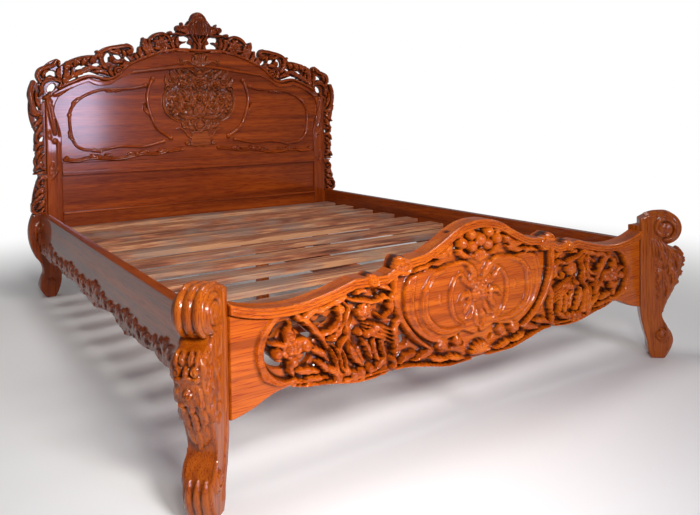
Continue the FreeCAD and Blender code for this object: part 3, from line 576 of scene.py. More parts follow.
@dataclass(frozen=True)
class Hollow:
    """A groove scooped along a path."""

    path: tuple
    width: float
    deep: float

    def carve(self, ground: Field) -> None:
        """Lowers the wood along the groove.

        Args:
            ground: the field that it is cut in.
        """
        window, share, across = ground.follow(self.path, self.width / 2)
        fade = np.interp(share, (0, 0.12, 0.88, 1), (0.1, 1, 1, 0.1))
        place = np.minimum(across / (self.width / 2), 1)
        ground.height[window] -= self.deep * fade * (1 - place**2)


def mirrored(marks: list) -> list:
    """Returns marks with their mirror images across the centre line.

    Args:
        marks: marks of the right half.

    Returns:
        The marks, each followed by its image.
    """
    result = []
    for mark in marks:
        result.append(mark)
        values = {name: getattr(mark, name) for name in mark.__dataclass_fields__}
        for name in ("path", "outline"):
            if name in values:
                values[name] = tuple((-u, v) for u, v in values[name])
        for name in ("centre", "root"):
            if name in values:
                values[name] = (-values[name][0], values[name][1])
        if "heading" in values:
            values["heading"] = 180 - values["heading"]
        if "start" in values:
            values["start"] = 180 - values["start"]
            values["turns"] = -values["turns"]
        result.append(type(mark)(**values))
    return result


def berries(points: Points, radius: float, height: float) -> list:
    """Returns a cluster of beads of one size."""
    return [Bead(point, radius, height) for point in points]


def spray(root: tuple[float, float], length: float, width: float, height: float, headings: list,
          lobes: int = 3) -> list:
    """Returns leaves that spread from a root.

    Args:
        root: where the leaves start.
        length: length of a leaf.
        width: width of a leaf.
        height: height of a leaf.
        headings: direction of each leaf in degrees.
        lobes: lobes on each side of a leaf.

    Returns:
        The leaves.
    """
    marks = []
    for heading in headings:
        angle = math.radians(heading)
        ahead = np.array((math.cos(angle), math.sin(angle)))
        aside = np.array((-ahead[1], ahead[0])) * (0.14 * length * (1 if heading % 360 < 90 else -1))
        start = np.array(root, float)
        path = (tuple(start), tuple(start + 0.55 * length * ahead + aside), tuple(start + length * ahead))
        marks.append(Leaf(path, width, height, lobes))
    return marks


def eye(centre: tuple[float, float], length: float, width: float, heading: float) -> Pierced:
    """Returns a pierced hole with the shape of a drop that points along a heading in degrees.

    Args:
        centre: its middle.
        length: its length.
        width: its width.
        heading: where it points.

    Returns:
        The hole.
    """
    angle = math.radians(heading)
    ahead = np.array((math.cos(angle), math.sin(angle))) * length / 2
    aside = np.array((-math.sin(angle), math.cos(angle))) * width / 2
    middle = np.array(centre, float)
    corners = (middle - ahead, middle - 0.3 * ahead + aside, middle + ahead + 0.3 * aside,
               middle - 0.1 * ahead - aside)
    return Pierced(tuple(tuple(corner) for corner in corners))


def undergrowth(outline: tuple, spacing: float, height: float, seed: int, flow: float = 90.0) -> list:
    """Returns small curled leaves, scrolls and berries that fill an outline in a fixed scatter.

    Args:
        outline: corners of the area.
        spacing: distance between neighbours.
        height: height of the tallest.
        seed: chooses the scatter.
        flow: direction in degrees that the leaves mostly follow.

    Returns:
        The marks.
    """
    chance = np.random.default_rng(seed)
    loop = np.array(outline, float)
    ahead = np.roll(loop, -1, axis=0)
    low = loop.min(axis=0)
    high = loop.max(axis=0)
    marks = []
    for row, v in enumerate(np.arange(low[1], high[1], spacing * 0.8)):
        for u in np.arange(low[0] + spacing / 2 * (row % 2), high[0], spacing):
            place = np.array((u, v)) + chance.uniform(-0.25, 0.25, 2) * spacing
            crossed = (loop[:, 1] > place[1]) != (ahead[:, 1] > place[1])
            with np.errstate(divide="ignore", invalid="ignore"):
                share = (place[1] - loop[:, 1]) / (ahead[:, 1] - loop[:, 1])
                where = loop[:, 0] + share * (ahead[:, 0] - loop[:, 0])
            kind, turn, bend, lift = chance.uniform(0, 1, 4)
            if np.count_nonzero(crossed & (where > place[0])) % 2 == 0:
                continue
            tall = height * (0.65 + 0.35 * lift)
            angle = math.radians(flow + 170 * (turn - 0.5))
            step = np.array((math.cos(angle), math.sin(angle))) * spacing * 0.78
            aside = np.array((-step[1], step[0])) * (0.55 if bend > 0.5 else -0.55)
            path = (tuple(place - step), tuple(place + aside), tuple(place + step))
            if kind < 0.1:
                marks.append(Bead(tuple(place), spacing * 0.28, tall))
            elif kind < 0.28:
                marks.append(Volute(tuple(place), spacing * 0.5, tall, 360 * turn, 1.2, spacing * 0.26))
            elif kind < 0.62:
                marks.append(Leaf(path, spacing * 0.85, tall, 3, 0.2))
            else:
                marks.append(Roll(path, spacing * 0.42, tall, thin=(0.3, 0.9)))
                marks.append(Bead(path[-1], spacing * 0.24, tall * 1.1))
    return marks


# Meshes


@dataclass(frozen=True)
class Plane:
    """Where a carved face lies, in millimetres: a point on it and three directions."""

    origin: tuple[float, float, float]
    along: tuple[float, float, float]
    up: tuple[float, float, float]
    out: tuple[float, float, float]

    def world(self, u: np.ndarray, v: np.ndarray, h: np.ndarray) -> np.ndarray:
        """Returns points of the face in metres.

        Args:
            u: across.
            v: along.
            h: outwards.

        Returns:
            The points, with the axes last.
        """
        place = np.asarray(self.origin, float)
        axes = (self.along, self.up, self.out)
        return (place + sum(c[..., None] * np.asarray(a, float) for c, a in zip((u, v, h), axes))) * MM


def facing_foot(front: float, side: int = 1) -> Plane:
    """Returns the plane of a face that looks towards the foot of the bed, mirrored for side -1."""
    return Plane((0, front, 0), (side, 0, 0), (0, 0, 1), (0, -1, 0))


def finished(name: str, bm: bmesh.types.BMesh, crease: float = 38.0, flat: float = 1.0) -> bpy.types.Object:
    """Turns a bmesh into a smooth-shaded object with crisp edges.

    Args:
        name: name of the object.
        bm: the shape, in metres.
        crease: angle from which an edge stays sharp, in degrees.
        flat: area in square metres from which a face keeps its own normal.

    Returns:
        The object, linked to the scene.
    """
    mesh = bpy.data.meshes.new(name)
    bm.to_mesh(mesh)
    bm.free()
    if "custom_normal" in mesh.attributes:
        mesh.attributes.remove(mesh.attributes["custom_normal"])
    mesh.set_sharp_from_angle(angle=math.radians(crease))
    mesh.polygons.foreach_set("use_smooth", [face.area < flat for face in mesh.polygons])
    piece = bpy.data.objects.new(name, mesh)
    bpy.context.scene.collection.objects.link(piece)
    return piece


def trimmed_grid(carving: Field, plane: Plane) -> bmesh.types.BMesh:
    """Makes the carved face as a mesh.

    Args:
        carving: the carved field.
        plane: where it lies.

    Returns:
        The face, trimmed to its edge, with each vertex's depth below its surroundings as an attribute, for
        the painted shade.
    """
    height, recess_shade = carving.surface()
    rows, columns = height.shape
    wood = carving.cover > 0
    kept = wood[:-1, :-1] | wood[1:, :-1] | wood[:-1, 1:] | wood[1:, 1:]
    # Points just outside move down the slope of the cover on to the edge.
    slope_v, slope_u = np.gradient(carving.cover, carving.step)
    shift = carving.cover / np.maximum(slope_u**2 + slope_v**2, 0.3)
    shift = np.where(wood, 0, np.clip(shift, -1.4 * carving.step, 0))
    places = plane.world(carving.uu - shift * slope_u, carving.vv - shift * slope_v, height).reshape(-1, 3)
    bm = bmesh.new()
    bmesh.ops.create_grid(bm, x_segments=columns - 1, y_segments=rows - 1, size=1)
    # Each vertex keeps its depth below its surroundings, which the material paints as shade.
    layer = bm.verts.layers.float.new("recess_shade")
    for vert, place, deep in zip(bm.verts, places, recess_shade.ravel()):
        vert.co = place
        vert[layer] = deep
    waste = [face for face, keep in zip(bm.faces, kept.ravel()) if not keep]
    bmesh.ops.delete(bm, geom=waste, context="FACES")
    bmesh.ops.remove_doubles(bm, verts=bm.verts, dist=0.02 * MM)
    even_rim(bm, carving.step * MM)
    return bm


def even_rim(bm: bmesh.types.BMesh, step: float) -> None:
    """Merges the short edges of a face's rim and smooths its run.

    Args:
        bm: the face.
        step: distance between the grid's lines in metres.
    """
    rim = [vert for vert in bm.verts if vert.is_boundary]
    bmesh.ops.remove_doubles(bm, verts=rim, dist=0.42 * step)
    bmesh.ops.dissolve_degenerate(bm, dist=0.02 * step, edges=bm.edges)
    rim = [edge for edge in bm.edges if edge.is_boundary]
    for _ in range(3):
        sums: dict = {}
        for edge in rim:
            for here, ahead in (edge.verts, reversed(edge.verts)):
                total, count = sums.get(here, (Vector(), 0))
                sums[here] = (total + ahead.co, count + 1)
        places = {vert: 0.5 * vert.co + 0.5 * total / count for vert, (total, count) in sums.items()}
        for vert, place in places.items():
            vert.co = place


def relief(name: str, carving: Field, plane: Plane, thickness: float) -> bpy.types.Object:
    """Makes a carved board: the face, its wall and a flat back.

    Args:
        name: name of the piece.
        carving: the carved field.
        plane: the plane that heights count from.
        thickness: from that plane to the back.

    Returns:
        The object.
    """
    bm = trimmed_grid(carving, plane)
    if carving.grows:
        everything = bm.verts[:] + bm.edges[:] + bm.faces[:]
        made = bmesh.ops.extrude_face_region(bm, geom=everything, use_keep_orig=True)["geom"]
    else:
        rim = [edge for edge in bm.edges if edge.is_boundary]
        made = bmesh.ops.extrude_edge_only(bm, edges=rim)["geom"]
    # The wall and the back get no painted shade.
    layer = bm.verts.layers.float["recess_shade"]
    out = Vector(plane.out)
    level = Vector(plane.origin).dot(out) - thickness
    for vert in made:
        if isinstance(vert, bmesh.types.BMVert):
            vert.co += out * (level * MM - vert.co.dot(out))
            vert[layer] = 0.0
    edges = [item for item in made if isinstance(item, bmesh.types.BMEdge)]
    if carving.grows:
        backs = {item for item in made if isinstance(item, bmesh.types.BMFace)}
        inner = [edge for edge in edges if len(edge.link_faces) == 2 and backs.issuperset(edge.link_faces)]
        bmesh.ops.dissolve_limit(bm, angle_limit=0.02, verts=[], edges=inner)
    else:
        bmesh.ops.triangle_fill(bm, use_beauty=False, edges=edges)
    bmesh.ops.recalc_face_normals(bm, faces=bm.faces)
    return finished(name, bm)


def node_loops(name: str, level: float, axes: tuple[int, int, int] = (0, 2, 1)) -> list[np.ndarray]:
    """Reads the outlines of a CAD piece from the face that lies in a plane.

    Args:
        name: name of the CAD node.
        level: where the plane lies, in millimetres.
        axes: the world axes that run across, up and out of the plane.

    Returns:
        The loops in millimetres, the outer one first.
    """
    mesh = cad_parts[name].data
    places = np.empty(len(mesh.vertices) * 3)
    mesh.vertices.foreach_get("co", places)
    places = places.reshape(-1, 3) / MM
    flat = np.abs(places[:, axes[2]] - level) < 0.05
    keys = [tuple(np.round(place[list(axes[:2])], 2)) for place in places]
    edges: dict = {}
    for face in mesh.polygons:
        if all(flat[index] for index in face.vertices):
            for edge in face.edge_keys:
                ends = tuple(sorted((keys[edge[0]], keys[edge[1]])))
                edges[ends] = edges.get(ends, 0) + 1
    links: dict = {}
    for (start, end), uses in edges.items():
        if uses == 1 and start != end:
            links.setdefault(start, []).append(end)
            links.setdefault(end, []).append(start)
    loops = []
    while links:
        start = next(iter(links))
        loop = [start]
        here = start
        while links.get(here):
            ahead = links[here].pop()
            links[ahead].remove(here)
            if ahead == start:
                break
            loop.append(ahead)
            here = ahead
        links = {place: ends for place, ends in links.items() if ends}
        loops.append(np.array(loop))
    loops.sort(key=lambda loop: -np.prod(loop.max(axis=0) - loop.min(axis=0)))
    return loops


def softened(name: str, radius: float, material: bpy.types.Material) -> bpy.types.Object:
    """Makes a copy of a plain CAD piece with its faces merged and its edges rounded, in its place.

    Args:
        name: name of the CAD node.
        radius: rounding of the edges in millimetres.
        material: the finish.

    Returns:
        The object.
    """
    bm = bmesh.new()
    bm.from_mesh(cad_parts[name].data)
    bmesh.ops.remove_doubles(bm, verts=bm.verts, dist=0.01 * MM)
    bmesh.ops.dissolve_limit(bm, angle_limit=math.radians(1), verts=bm.verts, edges=bm.edges)
    sharp = [edge for edge in bm.edges if edge.is_manifold and edge.calc_face_angle() > math.radians(35)]
    bmesh.ops.bevel(
        bm, geom=sharp, offset=radius * MM, segments=2, profile=0.5, affect="EDGES", clamp_overlap=True,
        material=-1
    )
    piece = finished(name + "_rounded", bm, flat=1e-4)
    piece.data.materials.append(material)
    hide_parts(name)
    return piece


def settle(piece: bpy.types.Object, slot: str, *nodes: str) -> bpy.types.Object:
    """Fixes a piece to the bed, hides the CAD nodes that it stands for, and reports it.

    Args:
        piece: the piece.
        slot: its material slot; not used.
        nodes: the CAD nodes that it stands for.

    Returns:
        The piece.
    """
    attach(piece, "root")
    if nodes:
        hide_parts(*nodes)
    LOG.info("%s: %d faces", piece.name, len(piece.data.polygons))
    return piece


# Finishes


def linear(colour: str) -> tuple[float, float, float, float]:
    """Turns an sRGB hex colour to linear values."""
    parts = [int(colour[index:index + 2], 16) / 255 for index in (1, 3, 5)]
    return (*(c / 12.92 if c <= 0.04045 else ((c + 0.055) / 1.055) ** 2.4 for c in parts), 1.0)


def add_node(tree: bpy.types.NodeTree, kind: str, settings: dict, links: dict) -> bpy.types.Node:
    """Adds a node to a material.

    Args:
        tree: the material's node tree.
        kind: type of the node.
        settings: values of its properties and, by name or number, of its sockets.
        links: for each input socket, the output socket that it is linked to.

    Returns:
        The node.
    """
    item = tree.nodes.new(kind)
    for name, value in settings.items():
        if isinstance(name, str) and hasattr(item, name):
            setattr(item, name, value)
        else:
            item.inputs[name].default_value = value
    for name, source in links.items():
        tree.links.new(source, item.inputs[name])
    return item


def ramp(tree: bpy.types.NodeTree, source: bpy.types.NodeSocket, stops: list) -> bpy.types.NodeSocket:
    """Adds a colour ramp with its stops and returns its colour.

    Args:
        tree: the material's nodes.
        source: the value that picks the colour.
        stops: places and hex colours.

    Returns:
        The colour socket.
    """
    item = add_node(tree, "ShaderNodeValToRGB", {}, {"Fac": source})
    band = item.color_ramp
    while len(band.elements) < len(stops):
        band.elements.new(0.5)
    for element, (place, colour) in zip(band.elements, stops):
        element.position = place
        element.color = linear(colour)
    return item.outputs["Color"]


@dataclass(frozen=True)
class LacqueredMahogany:
    """Mahogany, stained and sprayed with gloss lacquer.

    Painted shade darkens the colour in the hollows of the carving, the ribbon figure runs with the grain,
    and the lacquer gives clear highlights over slightly rippled wood.
    """

    grain: Axis
    light: str = "#CC660C"
    middle: str = "#B2500A"
    dark: str = "#883908"
    # Colour of the painted shade in the hollows of the carving.
    recess_shade: str = "#2A0C03"
    ribbon: float = 26.0
    pore: float = 1.0
    stain_and_shade: str = "orange"
    haze: float = 0.05

    def material(self) -> bpy.types.Material:
        """Builds the material.

        Returns:
            The material.
        """
        title = "mahogany_gloss_lacquer_" + self.stain_and_shade + "_" + self.grain.name.lower()
        finish = bpy.data.materials.new(title)
        finish.use_nodes = True
        tree = finish.node_tree
        tree.nodes.clear()
        place = add_node(tree, "ShaderNodeTexCoord", {}, {}).outputs["Object"]
        stretch = [1.0, 1.0, 1.0]
        stretch[self.grain.value] = 0.03
        along = add_node(tree, "ShaderNodeMapping", {"Scale": stretch}, {"Vector": place}).outputs["Vector"]
        ribbon = add_node(
            tree, "ShaderNodeTexNoise",
            {"Scale": 1 / (self.ribbon * MM), "Detail": 3.0, "Roughness": 0.55, "Distortion": 0.4},
            {"Vector": along},
        ).outputs["Fac"]
        board = add_node(
            tree, "ShaderNodeTexNoise", {"Scale": 2.2, "Detail": 2.0}, {"Vector": place},
        ).outputs["Fac"]
        tone = add_node(
            tree, "ShaderNodeMath", {"operation": "MULTIPLY_ADD", 1: 0.45}, {0: board, 2: ribbon},
        ).outputs["Value"]
        colour = ramp(tree, tone, [(0.45, self.dark), (0.68, self.middle), (0.95, self.light)])
        pores = add_node(
            tree, "ShaderNodeTexNoise",
            {"Scale": 1 / (self.pore * MM * 2), "Detail": 1.0, "Roughness": 0.4},
            {"Vector": along},
        ).outputs["Fac"]
        pore_depth = add_node(
            tree, "ShaderNodeMapRange", {"From Min": 0.36, "From Max": 0.46, "To Min": 1.0, "To Max": 0.0},
            {"Value": pores},
        ).outputs["Result"]
        # Painted shade: how deep a point lies below its surroundings mixes the colour up to 95 per cent
        # towards the shade colour.
        deep = add_node(tree, "ShaderNodeAttribute", {"attribute_name": "recess_shade"}, {}).outputs["Fac"]
        stain_and_shade = add_node(
            tree, "ShaderNodeMapRange", {"From Min": 0.04, "From Max": 0.55, "To Min": 0.0, "To Max": 0.95},
            {"Value": deep},
        ).outputs["Result"]
        pored = add_node(
            tree, "ShaderNodeMix", {"data_type": "RGBA", "blend_type": "MULTIPLY", 7: linear("#D0A890")},
            {0: pore_depth, 6: colour},
        ).outputs[2]
        # Mixes the painted shade of the hollows into the wood's colour.
        stained_and_shaded = add_node(
            tree, "ShaderNodeMix", {"data_type": "RGBA", 7: linear(self.recess_shade)}, {0: stain_and_shade, 6: pored},
        ).outputs[2]
        ripple = add_node(
            tree, "ShaderNodeTexNoise", {"Scale": 60.0, "Detail": 2.0}, {"Vector": place},
        ).outputs["Fac"]
        bump = add_node(
            tree, "ShaderNodeBump", {"Strength": 0.12, "Distance": 0.001}, {"Height": ripple},
        ).outputs["Normal"]
        fine = add_node(
            tree, "ShaderNodeBump", {"Strength": 0.1, "Distance": 0.0004, "invert": True},
            {"Height": pore_depth, "Normal": bump},
        ).outputs["Normal"]
        rough = add_node(
            tree, "ShaderNodeMapRange", {"From Min": 0.2, "From Max": 0.8, "To Min": 0.3, "To Max": 0.4},
            {"Value": ribbon},
        ).outputs["Result"]
        shader = add_node(
            tree, "ShaderNodeBsdfPrincipled",
            {"IOR": 1.45, "Specular IOR Level": 0.1, "Coat Weight": 0.65, "Coat Roughness": self.haze,
             "Coat IOR": 1.5},
            {"Base Color": stained_and_shaded, "Roughness": rough, "Normal": fine},
        )
        add_node(tree, "ShaderNodeOutputMaterial", {}, {"Surface": shader.outputs["BSDF"]})
        return finish


@dataclass(frozen=True)
class SawnSlatWood:
    """Sawn hardwood offcuts without finish: dull, dusty and streaked, each slat of its own tone."""

    light: str = "#C48C62"
    middle: str = "#A05E3E"
    dark: str = "#643824"
    weathered: str = "#8A7A6E"

    def material(self) -> bpy.types.Material:
        """Builds the material.

        Returns:
            The material.
        """
        finish = bpy.data.materials.new("sawn_hardwood_raw")
        finish.use_nodes = True
        tree = finish.node_tree
        tree.nodes.clear()
        place = add_node(tree, "ShaderNodeTexCoord", {}, {}).outputs["Object"]
        along = add_node(
            tree, "ShaderNodeMapping", {"Scale": (0.06, 1.0, 1.0)}, {"Vector": place},
        ).outputs["Vector"]
        streak = add_node(
            tree, "ShaderNodeTexNoise", {"Scale": 90.0, "Detail": 4.0, "Roughness": 0.6}, {"Vector": along},
        ).outputs["Fac"]
        blotch = add_node(
            tree, "ShaderNodeTexNoise", {"Scale": 9.0, "Detail": 3.0}, {"Vector": along},
        ).outputs["Fac"]
        tone = add_node(
            tree, "ShaderNodeMath", {"operation": "MULTIPLY_ADD", 1: 0.8}, {0: blotch, 2: streak},
        ).outputs["Value"]
        fresh = ramp(tree, tone, [(0.72, self.dark), (0.9, self.middle), (1.0, self.light)])
        age = add_node(
            tree, "ShaderNodeTexNoise", {"Scale": 3.6, "Detail": 3.0, "Roughness": 0.6}, {"Vector": place},
        ).outputs["Fac"]
        aged = add_node(
            tree, "ShaderNodeMapRange", {"From Min": 0.48, "From Max": 0.62, "To Min": 0.0, "To Max": 0.55},
            {"Value": age},
        ).outputs["Result"]
        colour = add_node(
            tree, "ShaderNodeMix", {"data_type": "RGBA", 7: linear(self.weathered)}, {0: aged, 6: fresh},
        ).outputs[2]
        bump = add_node(
            tree, "ShaderNodeBump", {"Strength": 0.4, "Distance": 0.001}, {"Height": streak},
        ).outputs["Normal"]
        shader = add_node(
            tree, "ShaderNodeBsdfPrincipled", {"Roughness": 0.78, "IOR": 1.45},
            {"Base Color": colour, "Normal": bump},
        )
        add_node(tree, "ShaderNodeOutputMaterial", {}, {"Surface": shader.outputs["BSDF"]})
        return finish


@dataclass(frozen=True)
class ZincPlatedSteel:
    """Pressed steel with bright zinc plating: pale grey, with a slightly cloudy gloss."""

    colour: str = "#B4B6B8"

    def material(self) -> bpy.types.Material:
        """Builds the material.

        Returns:
            The material.
        """
        finish = bpy.data.materials.new("zinc_plated_steel")
        finish.use_nodes = True
        tree = finish.node_tree
        tree.nodes.clear()
        place = add_node(tree, "ShaderNodeTexCoord", {}, {}).outputs["Object"]
        cloud = add_node(
            tree, "ShaderNodeTexNoise", {"Scale": 140.0, "Detail": 3.0}, {"Vector": place},
        ).outputs["Fac"]
        rough = add_node(
            tree, "ShaderNodeMapRange", {"From Min": 0.3, "From Max": 0.7, "To Min": 0.28, "To Max": 0.5},
            {"Value": cloud},
        ).outputs["Result"]
        shader = add_node(
            tree, "ShaderNodeBsdfPrincipled", {"Metallic": 1.0, "Base Color": linear(self.colour)},
            {"Roughness": rough},
        )
        add_node(tree, "ShaderNodeOutputMaterial", {}, {"Surface": shader.outputs["BSDF"]})
        return finish


@dataclass
class Finishes:
    """The finishes of the bed, built once."""

    def __post_init__(self) -> None:
        """Builds every finish."""
        self.across = LacqueredMahogany(Axis.ACROSS).material()
        self.up = LacqueredMahogany(Axis.UP).material()
        red = {"light": "#A0460A", "middle": "#823408", "dark": "#602206", "stain_and_shade": "red"}
        brown = {"light": "#9C4A18", "middle": "#803A12", "dark": "#52240B", "stain_and_shade": "brown"}
        deep = {"light": "#B0580A", "middle": "#984508", "dark": "#743007"}
        self.post = LacqueredMahogany(Axis.UP, **deep).material()
        self.applied = LacqueredMahogany(Axis.ACROSS, **brown).material()
        self.head_across = LacqueredMahogany(Axis.ACROSS, **red).material()
        self.head_up = LacqueredMahogany(Axis.UP, **red).material()
        board = {**red, "stain_and_shade": "red_board", "haze": 0.13}
        self.head_board = LacqueredMahogany(Axis.ACROSS, **board).material()
        self.along = LacqueredMahogany(Axis.ALONG, **red).material()
        self.slat = SawnSlatWood().material()
        self.steel = ZincPlatedSteel().material()


# Footboard


